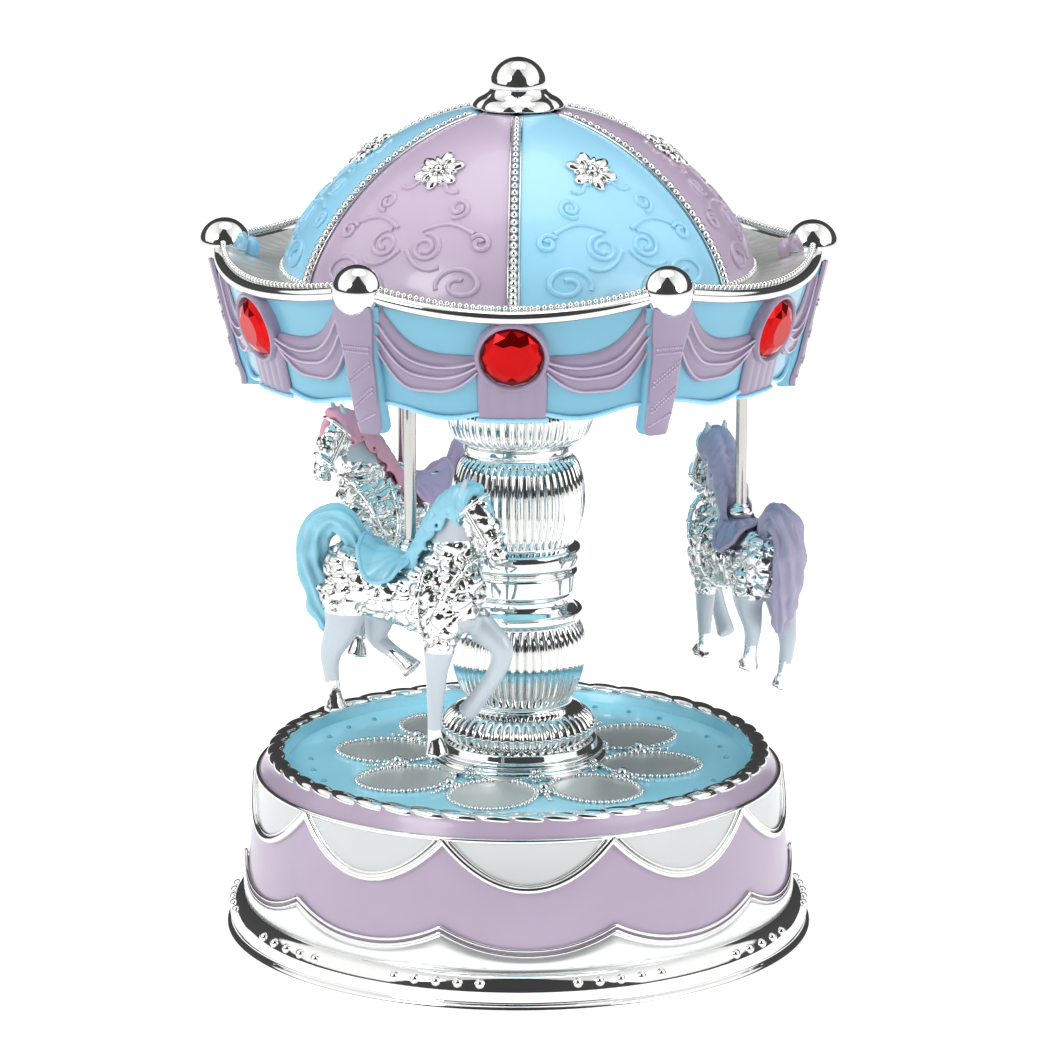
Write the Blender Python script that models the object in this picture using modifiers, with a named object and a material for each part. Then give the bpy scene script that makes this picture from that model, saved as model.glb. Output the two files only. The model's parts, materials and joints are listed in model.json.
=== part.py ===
"""Wind-up carousel music box: a plated and painted plastic roundabout on a musical movement.

The base holds the movement. The spring barrel turns the drive shaft, which runs up through the
column and turns the canopy. Three horses hang from the canopy on poles whose followers run on a
tilted cam disc that is fixed to the top of the column, so the horses rise and fall.
The origin is at the middle of the foot, on the surface that the box stands on. +Z is up.
Azimuth 0 is -Y, the front, and azimuth grows towards +X. Sizes are in millimetres; MM turns them
into Blender's metres where a mesh is made.
"""

import math

import bmesh
import bpy
from mathutils import Matrix, Vector

MM = 0.001
GAP = 0.3  # between parts that touch

# Base
FOOT_R = 56.0
FOOT_TOP = 7.0
FOOT_BORE_R = 50.2
DRUM_LOW_R = 52.2
DRUM_TOP_R = 49.8
DRUM_BOTTOM = FOOT_TOP + GAP
DRUM_TOP = 29.2
LEDGE_R = 41.5
LEDGE_TOP = 28.3
DECK_R = 43.6
DECK_BOTTOM = LEDGE_TOP + GAP
DECK_TOP = 32.3
CROWN_BORE_R = DECK_R + GAP
CROWN_BOTTOM = DRUM_TOP + GAP
CROWN_TOP = 35.0
COVER_R = 49.8
COVER_BOTTOM = 8.4
COVER_TOP = 10.2
TOWER_RING_R = 44.0
TOWER_R = 2.9
TOWER_ANGLES = (90, 210, 330)  # from +X
SCREW_R = 1.2
SCREW_HEAD_R = 2.4

# Column
COLUMN_BORE_R = 3.2
PLINTH_BOTTOM = DECK_TOP + GAP
PLINTH_TOP = 36.7
LOWER_TOP = 62.4
UPPER_TOP = 94.3
NECK_R = 6.5
NECK_TOP = 114.0

# Canopy
LOBES = 6
RIM_R = 56.4
RIM_LIFT = 3.3  # how far the rim rises from the middle of a lobe to a corner
RIM_Z = 127.6
BALL_R = 5.0
BALL_RING_R = 54.7
BALL_Z = 131.9
DOME_R = 44.0
DOME_FOOT = 127.9
DOME_CROWN = 157.5
DOME_SHARE = 80.0  # degrees of a quarter turn that its profile spans
DOME_POWER = 1.4  # above 1, its shoulders slope
DOME_WALL = 1.4
CEILING_R = 48.4
CEILING_BOTTOM = 111.4
CEILING_TOP = 112.8
CEILING_HOLE_R = 8.5
HEM_Z = 111.0
DROP_BOTTOM = 105.5
STONE_R = 5.3
STONE_Z = 121.2
BOSS_R = 5.9
BOSS_FACE_R = 53.2
BOSS_TILT = 15.0  # its face looks out and down

# Drive
SHAFT_R = 1.5
SHAFT_TOP = 150.0
HUB_R = 4.0
HUB_BOTTOM = 138.0
HUB_TOP = 155.2

# Horses and their cam
POLE_RING_R = 42.0
POLE_AZIMUTHS = (-26.5, 93.5, 213.5)
POLE_R = 1.1
GUIDE_R = POLE_R + GAP
SADDLE_Z = 80.0  # of a horse in the middle of its stroke
STROKE = 4.8
CAM_HIGH_AZIMUTH = 63.5
CAM_R = 32.0
CAM_HUB_R = 6.0
CAM_Z = 117.7
FOLLOWER_REACH = 8.6
FOLLOWER_BOTTOM = 37.6  # above the saddle
HORSE_TURNS = (0.0, 22.0, 0.0)  # each horse's turn from its path, towards the column
HORSE_PITCHES = (0.0, 5.0, 3.0)  # nose up
HORSE_REACHES = (0.0, 0.0, 2.6)  # how far forward the head is held
HORSE_DROPS = (0.0, 4.6, 0.0)  # how far below the others each is fixed on its pole
HORSE_VOXEL = 0.9
HORSE_TRIANGLES = 620

# Movement
ARBOR_R = 1.9
BARREL_R = 12.8
BARREL_TOP = 27.2
BARREL_WALL = 0.9
BARREL_FLOOR = 15.0
FLANGE_R = 16.2
FLANGE_BOTTOM = 13.7
CROWN_TEETH = 36
CROWN_TOOTH_INNER = 13.4
CROWN_TOOTH_TOP = 16.5
CYLINDER_PINION_TEETH = 9
CYLINDER_GEAR_TEETH = 22
SECOND_PINION_TEETH = 8
SECOND_WHEEL_TEETH = 24
CYLINDER_Z = 19.6
CYLINDER_R = 5.2
CYLINDER_X = (18.8, 34.0)
PIN_ROWS = 6
PINS_PER_ROW = 3
SMALL_MODULE = 0.5
WORM_MODULE = 0.4
WORM_R = 1.1
WORM_TIP_R = 1.75
WORM_PITCH_R = 1.45
BED_BOTTOM = COVER_TOP + GAP
BED_TOP = 12.3
COMB_NOTES = 18
COMB_Z = 19.2
COMB_THICKNESS = 0.8
COMB_X = (19.4, 33.6)
COMB_SCREW_X = (22.5, 30.5)
COMB_SCREW_Y = -13.7
SPRING_TURNS = 6
SPRING_THICKNESS = 0.35

SECOND_Y = SMALL_MODULE * (CYLINDER_GEAR_TEETH + SECOND_PINION_TEETH) / 2
SECOND_X = 37.0
WORM_X = 39.0
WORM_Y = SECOND_Y + WORM_MODULE * SECOND_WHEEL_TEETH / 2 + WORM_PITCH_R


# ---------------------------------------------------------------- scene and materials

for old in list(bpy.data.objects):
    bpy.data.objects.remove(old, do_unlink=True)

PARTS = bpy.data.collections.new("carousel_music_box")
bpy.context.scene.collection.children.link(PARTS)


def finish(name, colour, roughness, metallic):
    """A Principled material."""
    material = bpy.data.materials.new(name)
    material.use_nodes = True
    shader = material.node_tree.nodes["Principled BSDF"]
    shader.inputs["Base Color"].default_value = (*colour, 1.0)
    shader.inputs["Roughness"].default_value = roughness
    shader.inputs["Metallic"].default_value = metallic
    return material


CHROME = finish("chrome_plating", (0.86, 0.87, 0.88), 0.08, 1.0)
LILAC = finish("lilac_paint", (0.60, 0.45, 0.68), 0.35, 0.0)
BLUE = finish("blue_paint", (0.30, 0.66, 0.86), 0.35, 0.0)
RED = finish("red_stone", (0.75, 0.01, 0.02), 0.05, 0.0)
PEARL = finish("pearl_white", (0.86, 0.88, 0.90), 0.3, 0.0)
PLASTIC = finish("inner_plastic", (0.80, 0.80, 0.80), 0.5, 0.0)
STEEL = finish("steel", (0.62, 0.62, 0.62), 0.3, 1.0)
BRASS = finish("brass", (0.80, 0.62, 0.30), 0.3, 1.0)
NYLON = finish("nylon", (0.85, 0.84, 0.78), 0.5, 0.0)


# ---------------------------------------------------------------- shapes


def around(radius, azimuth, z):
    """A point at this azimuth from the front, in millimetres."""
    a = math.radians(azimuth)
    return Vector((radius * math.sin(a), -radius * math.cos(a), z))


def keep(obj, name, material):
    """Names an object, gives it its material and puts it with the parts."""
    obj.name = name
    obj.data.name = name
    obj.data.materials.clear()
    obj.data.materials.append(material)
    for collection in list(obj.users_collection):
        collection.objects.unlink(obj)
    PARTS.objects.link(obj)
    return obj


def baked(obj):
    """Replaces an object by a mesh object of its evaluated shape, closed and facing outwards."""
    bpy.context.view_layer.update()
    graph = bpy.context.evaluated_depsgraph_get()
    mesh = bpy.data.meshes.new_from_object(obj.evaluated_get(graph))
    made = bpy.data.objects.new(obj.name, mesh)
    made.matrix_world = obj.matrix_world.copy()
    bpy.context.scene.collection.objects.link(made)
    bpy.data.objects.remove(obj, do_unlink=True)
    work = bmesh.new()
    work.from_mesh(mesh)
    bmesh.ops.remove_doubles(work, verts=work.verts, dist=1e-6)
    bmesh.ops.recalc_face_normals(work, faces=work.faces)
    work.to_mesh(mesh)
    work.free()
    return made


def turned(name, material, profile, steps, closed=True, warp=None):
    """A solid turned about Z from a profile of (radius, height). closed joins its ends into a ring;
    otherwise they lie on the axis. warp moves each point (radius, azimuth in degrees, height)."""
    mesh = bpy.data.meshes.new(name)
    points = [(r * MM, 0.0, z * MM) for r, z in profile]
    edges = [(i, i + 1) for i in range(len(points) - 1)]
    if closed:
        edges.append((len(points) - 1, 0))
    mesh.from_pydata(points, edges, [])
    obj = bpy.data.objects.new(name, mesh)
    bpy.context.scene.collection.objects.link(obj)
    screw = obj.modifiers.new("turn", "SCREW")
    screw.axis = "Z"
    screw.angle = 2 * math.pi
    screw.steps = screw.render_steps = steps
    screw.use_merge_vertices = True
    screw.merge_threshold = 1e-5
    obj = baked(obj)
    if warp:
        for vertex in obj.data.vertices:
            x, y, z = (c / MM for c in vertex.co)
            azimuth = math.degrees(math.atan2(x, -y))
            r, azimuth, z = warp(math.hypot(x, y), azimuth, z)
            vertex.co = around(r, azimuth, z) * MM
    obj.data.shade_smooth()
    obj.data.set_sharp_from_angle(angle=math.radians(35))
    return keep(obj, name, material)


def plate(name, material, outlines, bottom, top):
    """A flat piece from its outline and any holes, lists of (x, y), between two heights."""
    curve = bpy.data.curves.new(name, "CURVE")
    curve.dimensions = "2D"
    curve.fill_mode = "BOTH"
    curve.extrude = (top - bottom) / 2 * MM
    for outline in outlines:
        spline = curve.splines.new("POLY")
        spline.points.add(len(outline) - 1)
        spline.use_cyclic_u = True
        for point, (x, y) in zip(spline.points, outline):
            point.co = (x * MM, y * MM, 0.0, 1.0)
    obj = bpy.data.objects.new(name, curve)
    bpy.context.scene.collection.objects.link(obj)
    obj.location.z = (top + bottom) / 2 * MM
    obj = baked(obj)
    obj.data.transform(obj.matrix_world)
    obj.matrix_world = Matrix.Identity(4)
    return keep(obj, name, material)


def circle(radius, count, centre=(0.0, 0.0)):
    """Points round a circle."""
    turns = [2 * math.pi * i / count for i in range(count)]
    return [(centre[0] + radius * math.cos(a), centre[1] + radius * math.sin(a)) for a in turns]


def place(obj, matrix):
    """Moves a part's mesh by a matrix whose translation is in millimetres."""
    scaled = matrix.copy()
    scaled.translation = matrix.translation * MM
    obj.data.transform(scaled)
    obj.data.update()
    return obj


def shifted(x, y, z):
    return Matrix.Translation((x, y, z))


def block(name, material, low, high):
    """A box between two corners."""
    bpy.ops.mesh.primitive_cube_add(size=1.0)
    obj = bpy.context.object
    size = Vector(high) - Vector(low)
    middle = (Vector(high) + Vector(low)) / 2
    obj.data.transform(Matrix.Diagonal((size.x * MM, size.y * MM, size.z * MM, 1.0)))
    obj.data.transform(Matrix.Translation(middle * MM))
    return keep(obj, name, material)


def rod(name, material, radius, bottom, top, centre=(0.0, 0.0), sides=20):
    """An upright cylinder."""
    bpy.ops.mesh.primitive_cylinder_add(vertices=sides, radius=radius * MM, depth=(top - bottom) * MM)
    obj = bpy.context.object
    obj.data.transform(Matrix.Translation(Vector((*centre, (top + bottom) / 2)) * MM))
    obj.data.shade_smooth()
    obj.data.set_sharp_from_angle(angle=math.radians(35))
    return keep(obj, name, material)


def combined(obj, others, operation):
    """The Boolean of a part with other shapes, which are used up."""
    name, material = obj.name, obj.data.materials[0]
    for other in others:
        modifier = obj.modifiers.new("with", "BOOLEAN")
        modifier.operation = operation
        modifier.solver = "EXACT"
        modifier.object = other
    obj.name = name + "_uncut"
    made = baked(obj)
    for other in others:
        bpy.data.objects.remove(other, do_unlink=True)
    made.data.shade_smooth()
    made.data.set_sharp_from_angle(angle=math.radians(35))
    return keep(made, name, material)


def united(obj, others):
    return combined(obj, others, "UNION")


def cut(obj, others):
    return combined(obj, others, "DIFFERENCE")


def joined(objects):
    """Several shapes that don't touch, as one object for a Boolean."""
    work = bmesh.new()
    for obj in objects:
        work.from_mesh(obj.data)
    mesh = bpy.data.meshes.new("joined")
    work.to_mesh(mesh)
    work.free()
    made = bpy.data.objects.new("joined", mesh)
    PARTS.objects.link(made)
    mesh.materials.append(PLASTIC)
    for obj in objects:
        bpy.data.objects.remove(obj, do_unlink=True)
    return made


def lying(obj, x, y, z):
    """Turns an upright part so that its axis runs along +X, and puts its foot at a point."""
    return place(obj, shifted(x, y, z) @ Matrix.Rotation(math.radians(90), 4, "Y"))


def hung(obj, x, y, z):
    """Moves a part's origin to a point on its joint's axis and leaves the part where it is."""
    axis_point = Vector((x, y, z)) * MM
    obj.data.transform(Matrix.Translation(-axis_point))
    obj.location = axis_point
    return obj


def gear_outline(teeth, module, turn=0.0, bore=0.0):
    """A gear's outline: straight-sided teeth, thinner than the gaps so that meshed pairs keep backlash."""
    pitch_r = module * teeth / 2
    root_r, tip_r = pitch_r - 1.15 * module, pitch_r + 0.7 * module
    step = 2 * math.pi / teeth
    corners = ((-0.26, root_r), (-0.09, tip_r), (0.09, tip_r), (0.26, root_r))
    outline = []
    for tooth in range(teeth):
        for part, radius in corners:
            a = math.radians(turn) + (tooth + part) * step
            outline.append((radius * math.cos(a), radius * math.sin(a)))
    return [outline] + ([circle(bore, 12)] if bore else [])


# ---------------------------------------------------------------- base


def make_foot():
    profile = [
        (FOOT_R, 0.0),
        (FOOT_R, 1.9),
        (55.0, 2.7),
        (54.7, 4.6),
        (53.7, 6.2),
        (52.4, FOOT_TOP),
        (FOOT_BORE_R, FOOT_TOP),
        (FOOT_BORE_R, 0.0),
    ]
    turned("foot_ring", CHROME, profile, 42)


def tower_centres():
    turns = [math.radians(a) for a in TOWER_ANGLES]
    return [(TOWER_RING_R * math.cos(a), TOWER_RING_R * math.sin(a)) for a in turns]


def make_drum():
    profile = [
        (DRUM_LOW_R, DRUM_BOTTOM),
        (51.6, 11.0),
        (50.6, 22.0),
        (DRUM_TOP_R, DRUM_TOP),
        (CROWN_BORE_R + 0.2, DRUM_TOP),
        (CROWN_BORE_R + 0.2, LEDGE_TOP),
        (LEDGE_R, LEDGE_TOP),
        (LEDGE_R, 26.8),
        (48.0, 26.8),
        (50.2, DRUM_BOTTOM),
    ]
    drum = turned("drum_shell", LILAC, profile, 42)
    towers = [rod("tower", LILAC, TOWER_R, COVER_TOP + GAP, 27.4, c, 8) for c in tower_centres()]
    drum = united(drum, [joined(towers)])
    holes = [rod("hole", LILAC, SCREW_R + GAP, COVER_TOP, 20.0, c, 8) for c in tower_centres()]
    cut(drum, [joined(holes)])


def make_crown():
    profile = [
        (49.6, CROWN_BOTTOM),
        (49.4, 31.0),
        (47.9, 33.4),
        (47.6, CROWN_TOP - 0.4),
        (46.6, CROWN_TOP + 0.4),
        (45.2, CROWN_TOP - 0.2),
        (44.5, 33.6),
        (CROWN_BORE_R, 33.0),
        (CROWN_BORE_R, CROWN_BOTTOM),
    ]
    turned("scalloped_crown", LILAC, profile, 42)


def make_deck():
    profile = [(DECK_R, DECK_TOP), (DECK_R, DECK_BOTTOM), (4.0, DECK_BOTTOM), (4.0, DECK_TOP)]
    turned("deck_plate", BLUE, profile, 36)


def screw_up(name, centre, head_bottom, head_height, shank_top, shank_r, head_r):
    """A screw driven upwards."""
    x, y = centre
    profile = [
        (0.0, head_bottom),
        (head_r, head_bottom),
        (head_r, head_bottom + head_height),
        (shank_r, head_bottom + head_height),
        (shank_r, shank_top - 0.8),
        (0.0, shank_top),
    ]
    screw = turned(name, STEEL, profile, 8, closed=False)
    return place(screw, shifted(x, y, 0.0))


def screw_down(name, centre, head_top, head_height, shank_bottom, shank_r, head_r):
    """A screw driven downwards: the same screw turned over."""
    screw = screw_up(name, (0.0, 0.0), 0.0, head_height, head_top - shank_bottom, shank_r, head_r)
    return place(screw, shifted(*centre, head_top) @ Matrix.Rotation(math.pi, 4, "X"))


BED_SCREWS = ((-14.4, 13.4), (-14.4, -13.4))


def make_cover():
    holes = [circle(2.5, 12)]
    holes += [circle(SCREW_R + GAP, 8, c) for c in tower_centres()]
    holes += [circle(1.4, 8, c) for c in BED_SCREWS]
    plate("bottom_cover", PLASTIC, [circle(COVER_R, 42)] + holes, COVER_BOTTOM, COVER_TOP)
    for number, centre in enumerate(tower_centres(), 1):
        screw_up(f"cover_screw_{number}", centre, COVER_BOTTOM - GAP - 1.5, 1.5, 18.0, SCREW_R, SCREW_HEAD_R)


# ---------------------------------------------------------------- column


def make_column():
    bore = COLUMN_BORE_R
    plinth = [(16.4, PLINTH_BOTTOM), (16.8, 33.2), (16.6, 34.3), (15.9, 34.7), (16.1, 35.2), (15.7, 35.8)]
    plinth += [(14.9, 36.0), (14.6, PLINTH_TOP), (bore, PLINTH_TOP), (bore, PLINTH_BOTTOM)]
    turned("column_plinth", CHROME, plinth, 26)
    start = PLINTH_TOP + GAP
    lower = [(13.2, start), (14.3, 38.4), (14.1, 40.4), (12.4, 42.6), (9.8, 44.0), (9.8, 44.7)]
    lower += [(11.4, 48.2), (12.5, 52.6), (12.5, 56.4), (11.4, 60.6), (12.1, 61.0), (12.1, LOWER_TOP)]
    lower += [(bore, LOWER_TOP), (bore, start)]
    turned("column_lower", CHROME, lower, 24)
    start = LOWER_TOP + GAP
    upper = [(11.0, start), (10.1, 63.8), (10.2, 65.6), (11.2, 66.4), (11.2, 70.0), (10.4, 70.6)]
    upper += [(11.8, 71.4), (11.8, 74.4), (10.3, 75.4), (11.4, 78.2), (12.25, 82.2), (12.2, 86.0)]
    upper += [(11.2, 90.0), (9.8, 92.6), (10.2, 93.0), (10.2, UPPER_TOP), (bore, UPPER_TOP), (bore, start)]
    turned("column_upper", CHROME, upper, 24)
    start = UPPER_TOP + GAP
    capital = [(10.2, start), (12.6, 96.0), (13.9, 99.2), (13.6, 102.0), (12.0, 104.4), (NECK_R, 105.4)]
    capital += [(NECK_R, NECK_TOP), (bore, NECK_TOP), (bore, start)]
    turned("column_capital", CHROME, capital, 24)


def cam_rise(azimuth):
    """How far a horse at this azimuth is above the middle of its stroke."""
    return STROKE / 2 * math.cos(math.radians(azimuth - CAM_HIGH_AZIMUTH))


def make_cam():
    """The tilted disc on the column's neck that lifts the followers once a turn."""

    def tilt(r, azimuth, z):
        share = max(0.0, r - CAM_HUB_R) / (CAM_R - CAM_HUB_R)
        return r, azimuth, z + share * cam_rise(azimuth)

    low = NECK_TOP + GAP
    profile = [
        (2.2, 122.0),
        (CAM_HUB_R, 122.0),
        (CAM_HUB_R, CAM_Z),
        (CAM_R, CAM_Z),
        (CAM_R, CAM_Z - 1.6),
        (CAM_HUB_R, CAM_Z - 1.6),
        (CAM_HUB_R, low),
        (2.2, low),
    ]
    turned("cam_disc", NYLON, profile, 32, warp=tilt)


# ---------------------------------------------------------------- canopy


def lobe_share(azimuth):
    """0 at the middle of a lobe and 1 at its corners, where the balls are."""
    half = 180.0 / LOBES
    return abs((azimuth + half) % (2 * half) - half) / half


def rim_lift(azimuth):
    return RIM_LIFT * lobe_share(azimuth) ** 1.8


def corner_azimuths():
    return [360.0 / LOBES * (i + 0.5) for i in range(LOBES)]


def ball_cutters(radius):
    made = []
    for azimuth in corner_azimuths():
        bpy.ops.mesh.primitive_uv_sphere_add(segments=12, ring_count=7, radius=radius * MM)
        ball = bpy.context.object
        ball.data.transform(Matrix.Translation(around(BALL_RING_R, azimuth, BALL_Z) * MM))
        made.append(keep(ball, "ball_cutter", CHROME))
    return joined(made)


def make_eave():
    """The plated gutter and rim round the foot of the dome."""

    def wave(r, azimuth, z):
        share = min(1.0, max(0.0, (r - 44.5) / 9.0))
        return r, azimuth, z + share * rim_lift(azimuth)

    profile = [
        (RIM_R, RIM_Z + 2.6),
        (RIM_R, RIM_Z + 0.5),
        (54.6, RIM_Z),
        (50.0, 126.8),
        (45.0, 126.0),
        (41.4, 126.0),
        (41.4, DOME_FOOT - GAP),
        (44.4, DOME_FOOT - GAP),
        (50.0, 128.2),
        (53.9, RIM_Z + 2.4),
        (54.6, RIM_Z + 3.2),
    ]
    eave = turned("eave_rim", CHROME, profile, 48, warp=wave)
    cut(eave, [ball_cutters(BALL_R + GAP)])


def dome_point(share, wall=0.0):
    """A point on the dome's profile, from its foot at 0 to its crown at 1."""
    angle = share * math.radians(DOME_SHARE)
    rise = (DOME_CROWN - DOME_FOOT) / math.sin(math.radians(DOME_SHARE)) ** DOME_POWER
    return (DOME_R - wall) * math.cos(angle), DOME_FOOT + (rise - wall) * math.sin(angle) ** DOME_POWER


def make_dome():
    count = 5
    outer = [dome_point(i / count) for i in range(count + 1)]
    inner = [dome_point(i / count, DOME_WALL) for i in range(count + 1)]
    profile = outer + [(2.6, DOME_CROWN + 0.5), (2.6, inner[-1][1] + 0.3)] + inner[::-1]
    turned("dome_shell", BLUE, profile, 36)


def make_finial():
    profile = [
        (0.0, 167.0),
        (2.9, 166.2),
        (4.7, 164.3),
        (5.4, 161.8),
        (5.3, 161.2),
        (6.2, 159.8),
        (8.2, 158.6),
        (8.6, 157.9),
        (2.2, 158.1),
        (2.2, 156.0),
        (0.0, 156.0),
    ]
    turned("finial", CHROME, profile, 16, closed=False)


def wall_r(z):
    """The valance wall's outer radius at a height."""
    return 50.5 + 3.9 * (z - HEM_Z) / (RIM_Z - HEM_Z)


def make_valance():
    """The hanging border under the rim, with its stone bosses and corner drops."""
    top = 126.2
    profile = [(wall_r(top), top), (51.9, 117.0), (wall_r(HEM_Z), HEM_Z)]
    profile += [(wall_r(HEM_Z) - 1.6, HEM_Z), (50.2, 117.0), (wall_r(top) - 1.8, top)]

    def follow(r, azimuth, z):
        share = max(0.0, (z - HEM_Z) / (top - HEM_Z))
        return r, azimuth, z + share ** 2 * rim_lift(azimuth)

    valance = turned("valance", BLUE, profile, 48, warp=follow)
    added = []
    for lobe in range(LOBES):
        spin = Matrix.Rotation(math.radians(360.0 / LOBES * lobe), 4, "Z")
        boss = rod("boss", LILAC, BOSS_R, -0.9, 0.4, sides=14)
        place(boss, spin @ boss_face())
        shaft = block("shaft", LILAC, (-6.0, -52.4, 110.3), (6.0, -49.6, 115.6))
        place(shaft, spin)
        drop = drop_shape()
        place(drop, Matrix.Rotation(math.radians(180.0 / LOBES), 4, "Z") @ spin)
        added += [boss, shaft, drop]
    valance = united(valance, added)
    cut(valance, [ball_cutters(BALL_R + GAP)])


def boss_face():
    """The matrix that stands a shape on the face of the boss at azimuth 0."""
    out = Matrix.Rotation(math.radians(90 + BOSS_TILT), 4, "X")
    return shifted(0.0, -BOSS_FACE_R, STONE_Z) @ out


def drop_shape():
    """A tapered drop that hangs under a corner ball, at azimuth 0."""
    work = bmesh.new()
    bmesh.ops.create_cube(work, size=1.0)
    for vertex in work.verts:
        high, front = vertex.co.z > 0, vertex.co.y < 0
        z = 127.8 if high else DROP_BOTTOM
        half = 3.9 if high else 2.8
        outer, depth = (55.4, 3.4) if high else (51.4, 3.0)
        y = -outer if front else -outer + depth
        vertex.co = Vector((math.copysign(half, vertex.co.x), y, z)) * MM
    mesh = bpy.data.meshes.new("drop")
    work.to_mesh(mesh)
    work.free()
    return keep(bpy.data.objects.new("drop", mesh), "drop", LILAC)


def make_ceiling():
    holes = [circle(CEILING_HOLE_R, 16)]
    for azimuth in POLE_AZIMUTHS:
        hole = around(POLE_RING_R, azimuth, 0.0)
        holes.append(circle(GUIDE_R + 0.1, 10, (hole.x, hole.y)))
    plate("canopy_ceiling", BLUE, [circle(CEILING_R, 42)] + holes, CEILING_BOTTOM, CEILING_TOP)


def make_corner_balls():
    for number, azimuth in enumerate(corner_azimuths(), 1):
        bpy.ops.mesh.primitive_uv_sphere_add(segments=12, ring_count=7, radius=BALL_R * MM)
        ball = bpy.context.object
        ball.data.shade_smooth()
        ball.data.transform(Matrix.Translation(around(BALL_RING_R, azimuth, BALL_Z) * MM))
        keep(ball, f"corner_ball_{number}", CHROME)


def make_stones():
    """Faceted round stones, flat at the back, on the valance's bosses."""
    for number in range(LOBES):
        profile = [(0.0, 2.8), (2.9, 2.45), (4.6, 1.5), (STONE_R, 0.35), (STONE_R, 0.0), (0.0, 0.0)]
        stone = turned(f"red_stone_{number + 1}", RED, profile, 8, closed=False)
        stone.data.shade_flat()
        turn = Matrix.Rotation(math.radians(360.0 / LOBES * number), 4, "Z")
        place(stone, turn @ boss_face() @ shifted(0.0, 0.0, 0.4 + GAP))


# ---------------------------------------------------------------- drive


def make_drive():
    rod("drive_shaft", STEEL, SHAFT_R, 26.4, SHAFT_TOP, sides=16)
    profile = [(0.0, HUB_TOP), (HUB_R, HUB_TOP), (HUB_R, HUB_BOTTOM)]
    profile += [(SHAFT_R + GAP, HUB_BOTTOM), (SHAFT_R + GAP, SHAFT_TOP + 0.5), (0.0, SHAFT_TOP + 0.5)]
    turned("canopy_hub", NYLON, profile, 20, closed=False)


# ---------------------------------------------------------------- horses

# Stations along each limb: forward, left and up from the pole's foot in the saddle, then the
# half width and the half depth. Forward is the way the carousel turns; left is towards the column.
BODY = (
    (-16.6, 0, -3.4, 1.8, 2.2),
    (-14.4, 0, -3.0, 4.4, 5.4),
    (-9.0, 0, -4.0, 5.2, 6.2),
    (-3.0, 0, -5.6, 5.0, 5.8),
    (3.0, 0, -5.8, 5.2, 6.3),
    (8.0, 0, -5.2, 5.0, 7.2),
    (11.6, 0, -5.2, 4.0, 5.8),
    (13.6, 0, -5.6, 2.0, 3.2),
)
NECK = (
    (6.4, 0, -4.0, 4.2, 6.2),
    (7.8, 0, 1.2, 3.3, 5.2),
    (8.8, 0, 6.0, 2.6, 4.2),
    (10.0, 0, 10.0, 2.2, 3.4),
    (11.8, 0, 12.6, 2.1, 2.8),
)
HEAD = (
    (10.6, 0, 12.8, 1.9, 2.2),
    (13.0, 0, 12.0, 2.2, 3.0),
    (15.6, 0, 8.8, 2.0, 2.7),
    (17.4, 0, 5.6, 1.6, 1.9),
    (18.8, 0, 3.2, 1.5, 1.5),
    (19.4, 0, 2.0, 0.9, 0.9),
)
EAR = ((11.6, 1.3, 13.6, 0.8, 0.8), (11.9, 1.7, 15.6, 0.8, 0.7), (12.4, 1.9, 17.4, 0.35, 0.35))
STRAIGHT_FORELEG = (
    (8.0, 2.6, -7.0, 2.7, 3.8),
    (7.6, 3.0, -13.0, 2.0, 2.5),
    (7.0, 3.2, -18.6, 1.4, 1.7),
    (6.9, 3.2, -21.4, 1.5, 1.6),
    (6.6, 3.2, -27.0, 1.1, 1.15),
    (6.6, 3.2, -31.0, 1.15, 1.25),
    (6.9, 3.2, -33.0, 1.5, 1.6),
    (7.1, 3.2, -34.6, 1.8, 1.9),
)
BENT_FORELEG = (
    (9.0, 2.6, -7.6, 2.7, 3.4),
    (13.4, 3.0, -11.4, 1.9, 2.3),
    (17.3, 3.2, -14.4, 1.5, 1.7),
    (15.8, 3.2, -19.4, 1.1, 1.2),
    (12.6, 3.2, -24.2, 1.15, 1.2),
    (10.6, 3.2, -26.8, 1.4, 1.5),
    (9.2, 3.2, -28.4, 1.7, 1.6),
)
STRAIGHT_HINDLEG = (
    (-12.0, 2.6, -5.6, 3.4, 5.0),
    (-12.4, 3.1, -12.0, 2.3, 3.2),
    (-15.0, 3.3, -18.4, 1.4, 1.8),
    (-14.8, 3.3, -23.0, 1.1, 1.2),
    (-14.4, 3.3, -26.4, 1.2, 1.3),
    (-14.0, 3.3, -28.6, 1.7, 1.8),
)
REACHING_HINDLEG = (
    (-11.0, 2.6, -5.6, 3.4, 4.8),
    (-8.4, 3.0, -11.2, 2.3, 3.0),
    (-9.4, 3.2, -15.6, 1.4, 1.8),
    (-5.8, 3.2, -18.0, 1.1, 1.2),
    (-3.2, 3.2, -19.6, 1.2, 1.3),
    (-1.4, 3.2, -21.0, 1.6, 1.6),
)
TAIL = (
    (-13.6, 0, 0.2, 1.4, 1.4),
    (-15.8, 0, 4.0, 1.9, 2.0),
    (-19.4, 0, 4.6, 2.2, 2.4),
    (-22.0, 0, 1.0, 2.2, 2.6),
    (-22.4, 0, -4.6, 2.0, 2.4),
    (-20.8, 0, -10.0, 1.8, 2.2),
    (-19.6, 0, -14.6, 1.3, 1.6),
    (-19.2, 0, -17.2, 0.6, 0.7),
)
MANE = (
    (1.6, 0, 1.0, 1.5, 1.6),
    (3.8, 0, 5.4, 1.7, 2.0),
    (5.8, 0, 9.6, 1.7, 2.0),
    (8.4, 0, 13.2, 1.7, 2.0),
    (11.4, 0, 15.2, 1.5, 1.6),
    (14.2, 0, 14.2, 1.2, 1.2),
)


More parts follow.
